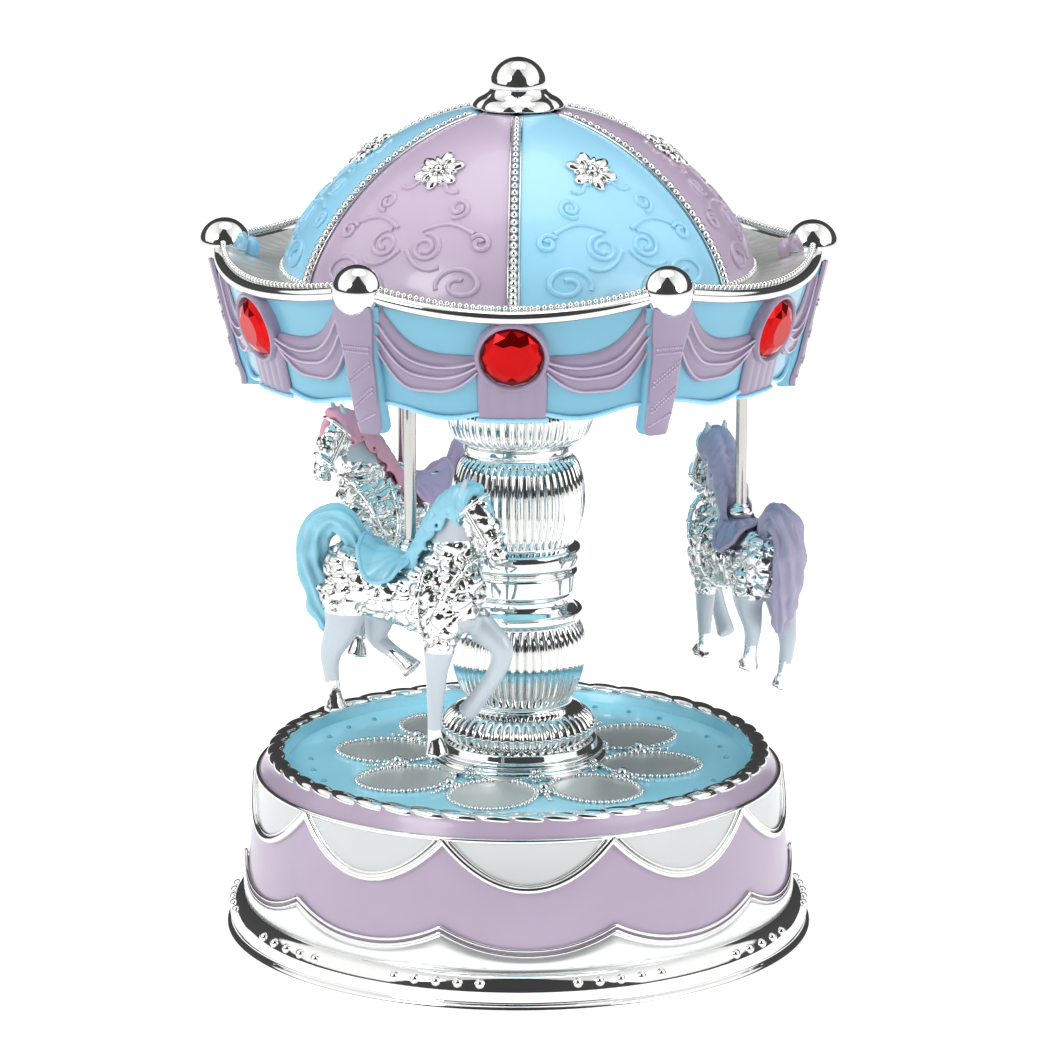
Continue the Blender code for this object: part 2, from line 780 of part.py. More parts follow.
def sweep(work, stations, sides=8):
    """Adds a closed tube of oval section through a limb's stations to a bmesh."""
    points = [Vector(s[:3]) for s in stations]
    rings = []
    for i, (point, station) in enumerate(zip(points, stations)):
        along = (points[min(i + 1, len(points) - 1)] - points[max(i - 1, 0)]).normalized()
        across = Vector((0, 1, 0)) - along * along.y
        across.normalize()
        deep = along.cross(across)
        ring = []
        for side in range(sides):
            a = 2 * math.pi * side / sides
            offset = across * math.cos(a) * station[3] + deep * math.sin(a) * station[4]
            ring.append(work.verts.new((point + offset) * MM))
        rings.append(ring)
    for near, far in zip(rings, rings[1:]):
        for side in range(sides):
            after = (side + 1) % sides
            work.faces.new((near[side], near[after], far[after], far[side]))
    work.faces.new(rings[0][::-1])
    work.faces.new(rings[-1])


def other_side(stations):
    return tuple((u, -v, w, a, b) for u, v, w, a, b in stations)


def reached(stations, reach, start):
    """Moves what is above a height forward, as a horse holds out its head."""
    return tuple((u + reach * max(0.0, (w - start) / 12.0), v, w, a, b) for u, v, w, a, b in stations)


def shortened(stations, share, ahead=0.0):
    """A leg scaled in length from its hip, and stood further forward."""
    hip = stations[0][2]
    return tuple((u + ahead, v, hip + (w - hip) * share, wide, deep) for u, v, w, wide, deep in stations)


def horse_limbs(number):
    """The limbs of one horse. The second horse leads with its other foreleg and stands on its hind legs."""
    reach = HORSE_REACHES[number]
    head = [reached(s, reach, 0.0) for s in (NECK, HEAD, EAR, other_side(EAR), MANE)]
    forelegs = [other_side(STRAIGHT_FORELEG), BENT_FORELEG]
    hindlegs = [other_side(STRAIGHT_HINDLEG), REACHING_HINDLEG]
    if number == 1:
        forelegs = [shortened(STRAIGHT_FORELEG, 0.74), shortened(other_side(BENT_FORELEG), 0.86)]
        hindlegs = [shortened(hindlegs[0], 0.95), shortened(STRAIGHT_HINDLEG, 0.78, 1.7)]
    return [BODY, TAIL] + head + forelegs + hindlegs


def horse_frame(number):
    """The matrix from a horse's own frame to the part's, in millimetres, and the point of its pole that the
    others have in their saddles."""
    azimuth = POLE_AZIMUTHS[number]
    saddle = SADDLE_Z + cam_rise(azimuth)
    foot = around(POLE_RING_R, azimuth, saddle)
    heading = Matrix.Rotation(math.radians(azimuth + HORSE_TURNS[number]), 4, "Z")
    pitch = Matrix.Rotation(math.radians(-HORSE_PITCHES[number]), 4, "Y")
    return Matrix.Translation(foot - Vector((0, 0, HORSE_DROPS[number]))) @ heading @ pitch, foot


def make_horse(number):
    frame, foot = horse_frame(number)
    work = bmesh.new()
    for limb in horse_limbs(number):
        sweep(work, limb)
    bmesh.ops.recalc_face_normals(work, faces=work.faces)
    mesh = bpy.data.meshes.new("horse")
    work.to_mesh(mesh)
    work.free()
    horse = keep(bpy.data.objects.new("horse", mesh), f"horse_{number + 1}", PEARL)
    place(horse, frame)
    remesh = horse.modifiers.new("blend", "REMESH")
    remesh.mode = "VOXEL"
    remesh.voxel_size = HORSE_VOXEL * MM
    bpy.context.view_layer.update()
    graph = bpy.context.evaluated_depsgraph_get()
    faces = len(horse.evaluated_get(graph).data.polygons)
    thin = horse.modifiers.new("thin", "DECIMATE")
    thin.ratio = HORSE_TRIANGLES / (2 * faces)
    name, material = horse.name, horse.data.materials[0]
    horse.name = "uncut"
    horse = keep(baked(horse), name, material)
    saddle = foot.z - HORSE_DROPS[number]
    hole = rod("hole", PEARL, POLE_R + GAP, saddle - 3.2, saddle + 6.0, (foot.x, foot.y), 12)
    room = rod("room", PEARL, 2.3 + GAP, saddle + 2.0 - GAP, saddle + 6.0, (foot.x, foot.y), 12)
    cut(horse, [hole, room])


def make_pole(number):
    _, foot = horse_frame(number)
    centre = (foot.x, foot.y)
    top = foot.z + FOLLOWER_BOTTOM + 3.6
    saddle = foot.z - HORSE_DROPS[number]
    rod(f"pole_{number + 1}", STEEL, POLE_R, saddle - 2.9, top, centre, 12)
    azimuth = POLE_AZIMUTHS[number]
    bore = POLE_R + GAP
    low = saddle + 2.0
    ring = [(2.0, low), (2.3, low + 0.7), (1.9, low + 1.6), (bore, low + 1.6), (bore, low)]
    place(turned(f"pole_collar_{number + 1}", CHROME, ring, 10), shifted(*centre, 0.0))
    low = foot.z + FOLLOWER_BOTTOM
    follower = rod("follower", NYLON, 2.7, low, low + 4.4, sides=12)
    arm = block("arm", NYLON, (-1.5, 0.0, low + 0.4), (1.5, FOLLOWER_REACH, low + 2.0))
    follower = united(follower, [arm])
    follower = cut(follower, [rod("hole", NYLON, bore, low - 1.0, low + 3.9, sides=12)])
    follower = keep(follower, f"cam_follower_{number + 1}", NYLON)
    place(follower, shifted(*centre, 0.0) @ Matrix.Rotation(math.radians(azimuth), 4, "Z"))


# ---------------------------------------------------------------- movement


def make_barrel():
    """The spring barrel, with crown teeth on its flange that drive the cylinder."""
    inner = BARREL_R - BARREL_WALL
    profile = [
        (SHAFT_R + GAP, BARREL_TOP),
        (BARREL_R, BARREL_TOP),
        (BARREL_R, BARREL_FLOOR),
        (FLANGE_R, BARREL_FLOOR),
        (FLANGE_R, FLANGE_BOTTOM),
        (2.6, FLANGE_BOTTOM),
        (2.6, BARREL_FLOOR),
        (inner, BARREL_FLOOR),
        (inner, BARREL_TOP - 1.2),
        (SHAFT_R + GAP, BARREL_TOP - 1.2),
    ]
    barrel = turned("spring_barrel", BRASS, profile, 24)
    teeth = [crown_tooth(360.0 / CROWN_TEETH * tooth) for tooth in range(CROWN_TEETH)]
    united(barrel, [joined(teeth)])


def crown_tooth(angle):
    """One upright tooth of the barrel's flange, at an angle from +X. Its section is a trapezium."""
    pitch = 2 * math.pi * (CROWN_TOOTH_INNER + FLANGE_R) / 2 / CROWN_TEETH
    work = bmesh.new()
    bmesh.ops.create_cube(work, size=1.0)
    for vertex in work.verts:
        high, outer = vertex.co.z > 0, vertex.co.x > 0
        radius = FLANGE_R - 0.2 if outer else CROWN_TOOTH_INNER
        half = pitch * (0.09 if high else 0.24) * radius / FLANGE_R
        z = CROWN_TOOTH_TOP if high else BARREL_FLOOR - 0.4
        vertex.co = Vector((radius, math.copysign(half, vertex.co.y), z)) * MM
    mesh = bpy.data.meshes.new("tooth")
    work.to_mesh(mesh)
    work.free()
    tooth = keep(bpy.data.objects.new("tooth", mesh), "tooth", BRASS)
    return place(tooth, Matrix.Rotation(math.radians(angle), 4, "Z"))


def make_mainspring():
    """A flat spiral inside the barrel, round the arbor."""
    inner_r, outer_r = ARBOR_R + 0.6, BARREL_R - BARREL_WALL - 0.6
    per_turn = 12
    count = SPRING_TURNS * per_turn
    out, back = [], []
    for i in range(count + 1):
        a = 2 * math.pi * i / per_turn
        r = inner_r + (outer_r - inner_r) * i / count
        out.append(((r + SPRING_THICKNESS) * math.cos(a), (r + SPRING_THICKNESS) * math.sin(a)))
        back.append((r * math.cos(a), r * math.sin(a)))
    plate("mainspring", STEEL, [out + back[::-1]], BARREL_FLOOR + 0.5, BARREL_TOP - 1.7)


def make_key():
    """The winding arbor and the wing key under the base."""
    profile = [(0.0, 25.4), (ARBOR_R, 25.4), (ARBOR_R, 4.6), (0.0, 4.6)]
    turned("winding_arbor", STEEL, profile, 12, closed=False)
    hub = rod("hub", STEEL, 3.4, 1.4, 7.6, sides=16)
    half = []
    for i in range(16):
        a = math.radians(-140 + 280 * i / 15)
        half.append((7.4 + 5.0 * math.cos(a), 5.0 * math.sin(a)))
    outline = half + [(-x, -y) for x, y in half]
    wings = plate("wings", STEEL, [outline], 1.8, 4.0)
    key = united(hub, [wings])
    key = cut(key, [rod("bore", STEEL, ARBOR_R + GAP, 4.2, 9.0, sides=12)])
    keep(key, "winding_key", STEEL)


def make_bedplate():
    """The movement's bed, with the cylinder's two bearing posts and the comb's ledge."""
    corners = [(-17.0, -16.0), (31.5, -16.0), (36.5, -12.0), (42.6, -6.0), (42.6, 19.2), (30.0, 19.2)]
    corners += [(24.0, 16.0), (-17.0, 16.0)]
    holes = [circle(2.4, 16)] + [circle(1.3, 10, c) for c in BED_SCREWS]
    bed = plate("movement_bed", STEEL, [corners] + holes, BED_BOTTOM, BED_TOP)
    low = BED_TOP - 0.5
    near = block("post", STEEL, (16.9, -2.8, low), (18.3, 2.8, 22.4))
    far = block("post", STEEL, (36.4, -2.8, low), (37.6, 2.8, 22.4))
    ledge = block("ledge", STEEL, (18.9, -15.9, low), (34.1, -11.6, COMB_Z - GAP))
    bed = united(bed, [joined([near, far, ledge])])
    bearing = lying(rod("bearing", STEEL, 1.25, 0.0, 24.0, sides=14), 15.0, 0.0, CYLINDER_Z)
    sockets = [rod("socket", STEEL, 1.2, 14.6, 20.0, (x, COMB_SCREW_Y), 10) for x in COMB_SCREW_X]
    cut(bed, [joined([bearing] + sockets)])
    for number, centre in enumerate(BED_SCREWS, 1):
        head_top = BED_TOP + GAP + 1.3
        screw_down(f"movement_screw_{number}", centre, head_top, 1.3, COVER_BOTTOM + 0.4, 1.0, 2.0)


def make_cylinder():
    """The pinned cylinder with its pinion at the barrel's end and its wheel at the other."""
    low, high = CYLINDER_X
    shaft = rod("shaft", STEEL, 0.95, 13.5, 38.0, sides=12)
    drum = rod("drum", BRASS, CYLINDER_R, low, high, sides=24)
    pinion_module = (CROWN_TOOTH_INNER + FLANGE_R) / CROWN_TEETH
    pinion_teeth = gear_outline(CYLINDER_PINION_TEETH, pinion_module, 180.0 / CYLINDER_PINION_TEETH)
    pinion = plate("pinion", BRASS, pinion_teeth, 13.5, 16.1)
    wheel = plate("wheel", BRASS, gear_outline(CYLINDER_GEAR_TEETH, SMALL_MODULE), high - 0.1, 35.8)
    pins = []
    for row in range(PIN_ROWS):
        for pin in range(PINS_PER_ROW):
            angle = (row * 137.5 + pin * 120.0) % 360.0
            x = low + 1.2 + row * (high - low - 2.4) / (PIN_ROWS - 1)
            near, far = (CYLINDER_R - 0.5, -0.22, x - 0.22), (CYLINDER_R + 0.6, 0.22, x + 0.22)
            tooth = block("pin", BRASS, near, far)
            pins.append(place(tooth, Matrix.Rotation(math.radians(angle), 4, "Z")))
    body = united(shaft, [drum, pinion, wheel, joined(pins)])
    lying(keep(body, "pinned_cylinder", BRASS), 0.0, 0.0, CYLINDER_Z)
    hung(body, (low + high) / 2, 0.0, CYLINDER_Z)


def make_comb():
    """The steel comb: one tongue for each note, longer at the bass end."""
    low, high = COMB_X
    step = (high - low) / COMB_NOTES
    tip = -(CYLINDER_R + 0.6 + 0.35)
    outline = [(low, -15.6)]
    for note in range(COMB_NOTES):
        x = low + note * step
        root = -11.4 + 2.2 * note / (COMB_NOTES - 1)
        outline += [(x, root), (x + 0.08, tip), (x + step - 0.3, tip), (x + step - 0.22, root)]
    outline.append((high, -15.6))
    holes = [circle(1.2, 10, (x, COMB_SCREW_Y)) for x in COMB_SCREW_X]
    plate("comb", STEEL, [outline] + holes, COMB_Z, COMB_Z + COMB_THICKNESS)
    head_top = COMB_Z + COMB_THICKNESS + GAP + 1.1
    for number, x in enumerate(COMB_SCREW_X, 1):
        screw_down(f"comb_screw_{number}", (x, COMB_SCREW_Y), head_top, 1.1, 15.2, 0.9, 1.8)


def make_second_wheel():
    """The wheel between the cylinder and the governor."""
    shaft = rod("shaft", BRASS, 0.7, 31.8, 41.4, sides=10)
    pinion = plate("pinion", BRASS, gear_outline(SECOND_PINION_TEETH, SMALL_MODULE), 34.2, 36.0)
    wheel = plate("wheel", BRASS, gear_outline(SECOND_WHEEL_TEETH, WORM_MODULE), 38.4, 39.6)
    body = united(shaft, [pinion, wheel])
    lying(keep(body, "second_wheel", BRASS), 0.0, SECOND_Y, CYLINDER_Z)
    hung(body, SECOND_X, SECOND_Y, CYLINDER_Z)


def make_governor():
    """The endless screw with its air brake, and the frame that carries it and the second wheel."""
    work = bmesh.new()
    lead = math.pi * WORM_MODULE
    per_turn, turns = 8, 3
    rings = []
    for i in range(per_turn * turns + 1):
        a = 2 * math.pi * (i / per_turn - 0.25)
        z = CYLINDER_Z + lead * (i / per_turn - turns / 2)
        section = ((WORM_R - 0.3, -0.3), (WORM_TIP_R, -0.1), (WORM_TIP_R, 0.1), (WORM_R - 0.3, 0.3))
        ring = [Vector((r * math.cos(a), r * math.sin(a), z + dz)) * MM for r, dz in section]
        rings.append([work.verts.new(point) for point in ring])
    for near, far in zip(rings, rings[1:]):
        for side in range(4):
            after = (side + 1) % 4
            work.faces.new((near[side], near[after], far[after], far[side]))
    work.faces.new(rings[0][::-1])
    work.faces.new(rings[-1])
    bmesh.ops.recalc_face_normals(work, faces=work.faces)
    mesh = bpy.data.meshes.new("thread")
    work.to_mesh(mesh)
    work.free()
    thread = keep(bpy.data.objects.new("thread", mesh), "thread", STEEL)
    core = rod("core", STEEL, WORM_R, 15.0, 24.3, sides=10)
    pivots = rod("pivots", STEEL, 0.6, 12.9, 26.3, sides=8)
    fly = block("fly", STEEL, (-3.1, -0.3, 24.0), (3.1, 0.3, 25.3))
    body = united(core, [thread, pivots, fly])
    place(keep(body, "governor_fly", STEEL), shifted(WORM_X, WORM_Y, 0.0))
    hung(body, WORM_X, WORM_Y, CYLINDER_Z)

    base_top = 13.8
    base = block("base", STEEL, (30.6, 6.0, BED_TOP + GAP), (42.4, 18.9, base_top))
    low = base_top - 0.5
    uprights = [
        block("upright", STEEL, (31.4, 6.3, low), (32.7, 9.0, 21.4)),
        block("upright", STEEL, (40.4, 5.9, low), (41.7, 9.1, 21.4)),
        block("upright", STEEL, (36.4, 17.5, low), (41.6, 18.7, 26.5)),
    ]
    arm = block("arm", STEEL, (37.4, 12.4, 25.6), (40.6, 17.9, 26.5))
    frame = united(base, [joined(uprights), arm])
    window = block("window", STEEL, (34.0, 5.0, 12.0), (36.3, 10.2, 14.5))
    pivot = lying(rod("pivot", STEEL, 0.95, 0.0, 12.0, sides=10), 31.0, SECOND_Y, CYLINDER_Z)
    worm_hole = rod("pivot", STEEL, 0.85, 12.0, 29.0, (WORM_X, WORM_Y), 10)
    keep(cut(frame, [joined([window, pivot, worm_hole])]), "governor_frame", STEEL)


# ---------------------------------------------------------------- assembly

make_foot()
make_drum()
make_crown()
make_deck()
make_cover()
make_column()
make_cam()
make_eave()
make_dome()
make_finial()
make_valance()
make_ceiling()
make_corner_balls()
make_stones()
make_drive()
for horse_number in range(len(POLE_AZIMUTHS)):
    make_horse(horse_number)
    make_pole(horse_number)
make_barrel()
make_mainspring()
make_key()
make_bedplate()
make_cylinder()
make_comb()
make_second_wheel()
make_governor()
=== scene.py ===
"""The looks of the carousel music box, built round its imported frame.

Lengths are in millimetres; MM turns them into metres. Azimuth 0 is -Y, the front, and grows
towards +X. Each piece rides on the CAD body that it belongs to.
"""

import json
import math

import bmesh
import bpy
from mathutils import Matrix, Vector, noise


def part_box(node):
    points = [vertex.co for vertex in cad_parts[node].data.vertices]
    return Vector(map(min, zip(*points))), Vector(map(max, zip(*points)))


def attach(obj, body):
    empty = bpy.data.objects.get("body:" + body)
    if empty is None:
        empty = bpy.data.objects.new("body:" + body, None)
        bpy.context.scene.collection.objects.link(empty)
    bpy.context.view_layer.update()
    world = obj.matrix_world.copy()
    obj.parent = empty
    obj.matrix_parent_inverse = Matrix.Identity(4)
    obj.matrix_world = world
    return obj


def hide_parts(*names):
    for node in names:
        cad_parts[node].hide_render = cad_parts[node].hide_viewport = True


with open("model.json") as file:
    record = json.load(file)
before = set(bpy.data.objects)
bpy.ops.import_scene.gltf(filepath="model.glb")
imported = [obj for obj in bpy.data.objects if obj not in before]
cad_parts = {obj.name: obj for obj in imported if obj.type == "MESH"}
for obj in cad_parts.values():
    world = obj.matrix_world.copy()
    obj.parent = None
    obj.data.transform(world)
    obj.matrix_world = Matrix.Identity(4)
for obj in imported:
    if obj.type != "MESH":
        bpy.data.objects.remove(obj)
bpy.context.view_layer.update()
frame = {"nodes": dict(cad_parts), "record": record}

MM = 0.001
LOBES = 6
DRUM_LOBES = 10
BASE_TURN = 3.2  # azimuth of a drum lobe's middle
DRUM_LINE = 30.6  # the half moons hang from here
FLUTES = 48
COLUMN_CORE_R = 9.0  # flutes are cut only outside this
HORSES = ("front_left_horse", "right_horse", "back_left_horse")
POLE_AZIMUTHS = (-26.5, 93.5, 213.5)
POLE_RING_R = 42.0


def node_box(name):
    """A CAD node's lowest and highest corners, in millimetres."""
    low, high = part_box(name)
    return Vector(low) / MM, Vector(high) / MM


# --- materials


def preset(node, **values):
    """Sets a node's inputs, each named with _ for a space, and returns the node."""
    for name, value in values.items():
        node.inputs[name.replace("_", " ")].default_value = value
    return node


def material(
    name, colour, roughness, metallic=0.0, coat=0.0, mottle=0.04, grain=400.0, bump=0.02, rough_span=0.06
):
    """A Principled finish with slightly uneven colour and gloss and a fine grain."""
    made = bpy.data.materials.new(name)
    made.use_nodes = True
    nodes, links = made.node_tree.nodes, made.node_tree.links
    shader = preset(nodes["Principled BSDF"], Metallic=metallic, Coat_Weight=coat, Coat_Roughness=0.08)
    place = nodes.new("ShaderNodeTexCoord")
    cloud = preset(nodes.new("ShaderNodeTexNoise"), Scale=60.0, Detail=4.0)
    links.new(place.outputs["Object"], cloud.inputs["Vector"])
    tint = nodes.new("ShaderNodeValToRGB")
    for stop, position, share in zip(tint.color_ramp.elements, (0.3, 0.7), (1 - mottle, 1 + mottle)):
        stop.position = position
        stop.color = (*[min(1.0, c * share) for c in colour], 1.0)
    links.new(cloud.outputs["Fac"], tint.inputs["Fac"])
    links.new(tint.outputs["Color"], shader.inputs["Base Color"])
    low, high = max(0.02, roughness - rough_span / 2), roughness + rough_span / 2
    gloss = preset(nodes.new("ShaderNodeMapRange"), To_Min=low, To_Max=high)
    links.new(cloud.outputs["Fac"], gloss.inputs["Value"])
    links.new(gloss.outputs["Result"], shader.inputs["Roughness"])
    fine = preset(nodes.new("ShaderNodeTexNoise"), Scale=grain)
    links.new(place.outputs["Object"], fine.inputs["Vector"])
    relief = preset(nodes.new("ShaderNodeBump"), Strength=bump, Distance=0.0005)
    links.new(fine.outputs["Fac"], relief.inputs["Height"])
    links.new(relief.outputs["Normal"], shader.inputs["Normal"])
    return made


CHROME = material("chrome_plating", (0.79, 0.795, 0.785), 0.05, 1.0, mottle=0.01, rough_span=0.02)
CHROME_RELIEF = material("chrome_relief", (0.71, 0.72, 0.71), 0.12, 1.0, mottle=0.03, grain=900.0, bump=0.12)
WHITE_CHROME = material("pale_chrome", (0.80, 0.81, 0.81), 0.22, metallic=0.7, mottle=0.02, bump=0.03)
SILVER = material("silver_paint", (0.72, 0.73, 0.71), 0.4, metallic=0.6, mottle=0.03, bump=0.05)
PEARL_PANEL = material("pearl_panel", (0.58, 0.60, 0.60), 0.2, metallic=0.3, coat=0.4, mottle=0.03)
BLUE = material("blue_paint", (0.37, 0.80, 0.95), 0.3, coat=0.4)
LILAC, LILAC_PALE, BLUE_PALE, BLUE_SHADE = (
    material(f"{name}_paint", colour, 0.3, coat=0.35)
    for name, colour in (
        ("lilac", (0.43, 0.345, 0.465)),
        ("lilac_dome", (0.52, 0.42, 0.56)),
        ("blue_dome", (0.32, 0.67, 0.88)),
        # A darker copy of the blue paint: painted shade, used on the valance, the backs of the drops and the
        # deck dots.
        ("blue_painted_shade", (0.16, 0.43, 0.58)),
    )
)
# A darker copy of the lilac paint: painted shade, used on the swags, the drop faces, the stone bezels and
# the boss stems.
LILAC_SHADE = material("lilac_painted_shade_paint", (0.29, 0.24, 0.35), 0.3, coat=0.35, mottle=0.05)
HAIR_BLUE, HAIR_LILAC, PINK, ORCHID = (
    material(f"{name}_paint", colour, 0.36, coat=0.25, mottle=0.10)
    for name, colour in (
        ("blue_hair", (0.27, 0.60, 0.74)),
        ("lilac_hair", (0.37, 0.34, 0.48)),
        ("pink", (0.76, 0.34, 0.44)),
        ("orchid", (0.58, 0.40, 0.58)),
    )
)
PEARL = material("pearl_white", (0.50, 0.56, 0.61), 0.32, metallic=0.1, coat=0.35)
RUBY = material("ruby_glass", (0.48, 0.003, 0.004), 0.06, 0.85, mottle=0.25, rough_span=0.03, bump=0.0)
STEEL = material("satin_steel", (0.52, 0.51, 0.49), 0.22, metallic=1.0, bump=0.1)
BRASS = material("brass", (0.75, 0.56, 0.25), 0.28, metallic=1.0, bump=0.1)
NYLON = material("nylon", (0.78, 0.76, 0.68), 0.5, bump=0.05)
WHITE_PLASTIC = material("moulded_plastic", (0.72, 0.73, 0.74), 0.5, bump=0.2, grain=900.0)

# The record's slots, each with the finish of its CAD nodes first.
SLOT_FINISHES = {
    "chrome": (CHROME, WHITE_CHROME, SILVER),
    "lilac": (LILAC, LILAC_PALE, LILAC_SHADE, PEARL_PANEL),
    "blue": (BLUE, BLUE_PALE, BLUE_SHADE),
    "red_stone": (RUBY,),
    "horse_pearl": (PEARL, CHROME_RELIEF, HAIR_BLUE, HAIR_LILAC, PINK, ORCHID),
    "inner_plastic": (WHITE_PLASTIC,),
    "steel": (STEEL,),
    "brass": (BRASS,),
    "nylon": (NYLON,),
}


def finish_cad_nodes():
    """Every CAD node keeps its shape and takes the first finish of its slot; the winding key, the bottom
    cover and its screws get softened edges.
    """
    slots = {part["node"]: part["material_slot"] for part in frame["record"]["subparts"]}
    for name, obj in frame["nodes"].items():
        obj.data.materials.clear()
        obj.data.materials.append(SLOT_FINISHES[slots[name]][0])
        if name in ("winding_key", "bottom_cover") or name.startswith("cover_screw"):
            bevel = obj.modifiers.new("soft_edges", "BEVEL")
            bevel.width = 0.25 * MM
            bevel.segments = 2
            bevel.limit_method = "ANGLE"


# --- shapes


def around(radius, azimuth, z):
    a = math.radians(azimuth)
    return Vector((radius * math.sin(a), -radius * math.cos(a), z))


def linked(name, data):
    obj = bpy.data.objects.new(name, data)
    bpy.context.scene.collection.objects.link(obj)
    return obj


def applied(obj):
    """The mesh that an object evaluates to; the object is removed."""
    bpy.context.view_layer.update()
    mesh = bpy.data.meshes.new_from_object(obj.evaluated_get(bpy.context.evaluated_depsgraph_get()))
    bpy.data.objects.remove(obj, do_unlink=True)
    return mesh


def add(name, mesh, body, finishes, nodes=(), crease=40.0):
    """Links a mesh as a piece that rides on a body, with its finishes, and hides the CAD nodes that it
    stands for.
    """
    obj = linked(name, mesh)
    mesh.name = name
    finishes = finishes if isinstance(finishes, tuple) else (finishes,)
    for finish in finishes:
        mesh.materials.append(finish)
    mesh.shade_smooth()
    mesh.set_sharp_from_angle(angle=math.radians(crease))
    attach(obj, body)
    if nodes:
        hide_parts(*nodes)
    return obj


def web(rows, ring=True, loop=False):
    """Quads over rows of points. ring joins each row's ends, and loop the last row to the first."""
    work = bmesh.new()
    made = [[work.verts.new(Vector(p) * MM) for p in row] for row in rows]
    count = len(rows[0])
    pairs = list(zip(made, made[1:])) + ([(made[-1], made[0])] if loop else [])
    for near, far in pairs:
        for i in range(count if ring else count - 1):
            j = (i + 1) % count
            work.faces.new((near[i], near[j], far[j], far[i]))
    bmesh.ops.remove_doubles(work, verts=work.verts, dist=1e-7)
    bmesh.ops.recalc_face_normals(work, faces=work.faces)
    return finished(work, "web")


def rounded(corners, closed=True, steps=5):
    """A profile whose corners (radius, height, fillet) are rounded off."""
    out = []
    count = len(corners)
    for i, corner in enumerate(corners):
        point, fillet = Vector(corner[:2]), corner[2] if len(corner) > 2 else 0.3
        if not closed and i in (0, count - 1):
            out.append(tuple(point))
            continue
        before = Vector(corners[i - 1][:2]) - point
        after = Vector(corners[(i + 1) % count][:2]) - point
        a = point + before.normalized() * min(fillet, before.length * 0.49)
        b = point + after.normalized() * min(fillet, after.length * 0.49)
        for t in shares(steps):
            out.append(tuple(a * (1 - t) ** 2 + point * 2 * t * (1 - t) + b * t * t))
    return out


def lathe(corners, columns, warp=None, closed=True):
    """A turned mesh. warp moves (radius, azimuth, height)."""
    warp = warp or (lambda *place: place)
    profile = rounded(corners, closed)
    rows = [[around(*warp(r, azimuth, z)) for azimuth in turns(columns)] for r, z in profile]
    return web(rows, loop=closed)


def beads(spheres, detail=2):
    """One mesh of many small balls: (centre, radius) or (centre, radius, matrix that stretches it)."""
    work = bmesh.new()
    for sphere in spheres:
        stretch = sphere[2] if len(sphere) > 2 else Matrix.Identity(4)
        matrix = Matrix.Translation(sphere[0] * MM) @ stretch
        bmesh.ops.create_icosphere(work, subdivisions=detail, radius=sphere[1] * MM, matrix=matrix)
    return finished(work, "beads")


def tubes(lines, radius, sides=4, cyclic=False):
    """One mesh of round wires along lines of points."""
    curve = bpy.data.curves.new("tubes", "CURVE")
    curve.dimensions = "3D"
    curve.bevel_depth = radius * MM
    curve.bevel_resolution = sides
    curve.use_fill_caps = True
    for line in lines:
        spline = curve.splines.new("POLY")
        spline.points.add(len(line) - 1)
        spline.use_cyclic_u = cyclic
        for point, place in zip(spline.points, line):
            point.co = (*(Vector(place) * MM), 1.0)
    mesh = applied(linked("tubes", curve))
    mesh.materials.clear()
    return mesh


def merged(meshes):
    work = bmesh.new()
    for mesh in meshes:
        work.from_mesh(mesh)
    return finished(work, "merged")


def thick(obj, width):
    obj.modifiers.new("thickness", "SOLIDIFY").thickness = width * MM


def finished(work, name):
    """The mesh that a bmesh makes."""
    mesh = bpy.data.meshes.new(name)
    work.to_mesh(mesh)
    work.free()
    return mesh


def turns(count):
    """Evenly spaced angles all the way round, in degrees."""
    return [360.0 * i / count for i in range(count)]


def shares(count):
    """Evenly spaced values from 0 to 1."""
    return [i / count for i in range(count + 1)]


def spread(count):
    """Evenly spaced values from -1 to 1."""
    return [2 * i / count - 1 for i in range(count + 1)]


def ring_of(size, count):
    """Evenly spaced points (x, y) on a circle."""
    return [(size * math.cos(math.radians(a)), size * math.sin(math.radians(a))) for a in turns(count)]


def between(a, b, t):
    return a + (b - a) * t


def smooth(t):
    t = min(1.0, max(0.0, t))
    return t * t * (3 - 2 * t)


def window(z, low, high, edge=1.2):
    return smooth((z - low) / edge) * smooth((high - z) / edge)


# --- base


def drum_lobe(azimuth):
    """-1 to 1 across a drum lobe, 0 at its middle."""
    pitch = 360.0 / DRUM_LOBES
    return ((azimuth - BASE_TURN + pitch / 2) % pitch - pitch / 2) / (pitch / 2)


def drum_r(z):
    return between(52.0, 49.6, smooth((z - 7.0) / 30.0) * 1.15)


def skirt_edge(azimuth):
    return 10.1 + 4.0 * abs(drum_lobe(azimuth)) ** 2.2


def build_foot():
    corners = [
        (56.0, 0.0, 0.3),
        (56.0, 1.4, 0.6),
        (54.9, 1.9, 0.4),
        (55.4, 3.8, 1.5),
        (54.4, 6.3, 1.8),
        (52.5, 7.3, 0.4),
        (50.3, 7.0, 0.2),
        (50.3, 0.0, 0.2),
    ]
    add("foot_chrome", lathe(corners, 240), "base", CHROME, ("foot_ring",))
    balls = []
    for lobe in range(DRUM_LOBES):
        for i in range(5):
            azimuth = BASE_TURN + 36.0 * (lobe + 0.5) + 4.3 * (i - 2)
            balls.append((around(54.5, azimuth, 5.4), 0.95))
    add("foot_beads", beads(balls, 3), "base", CHROME)


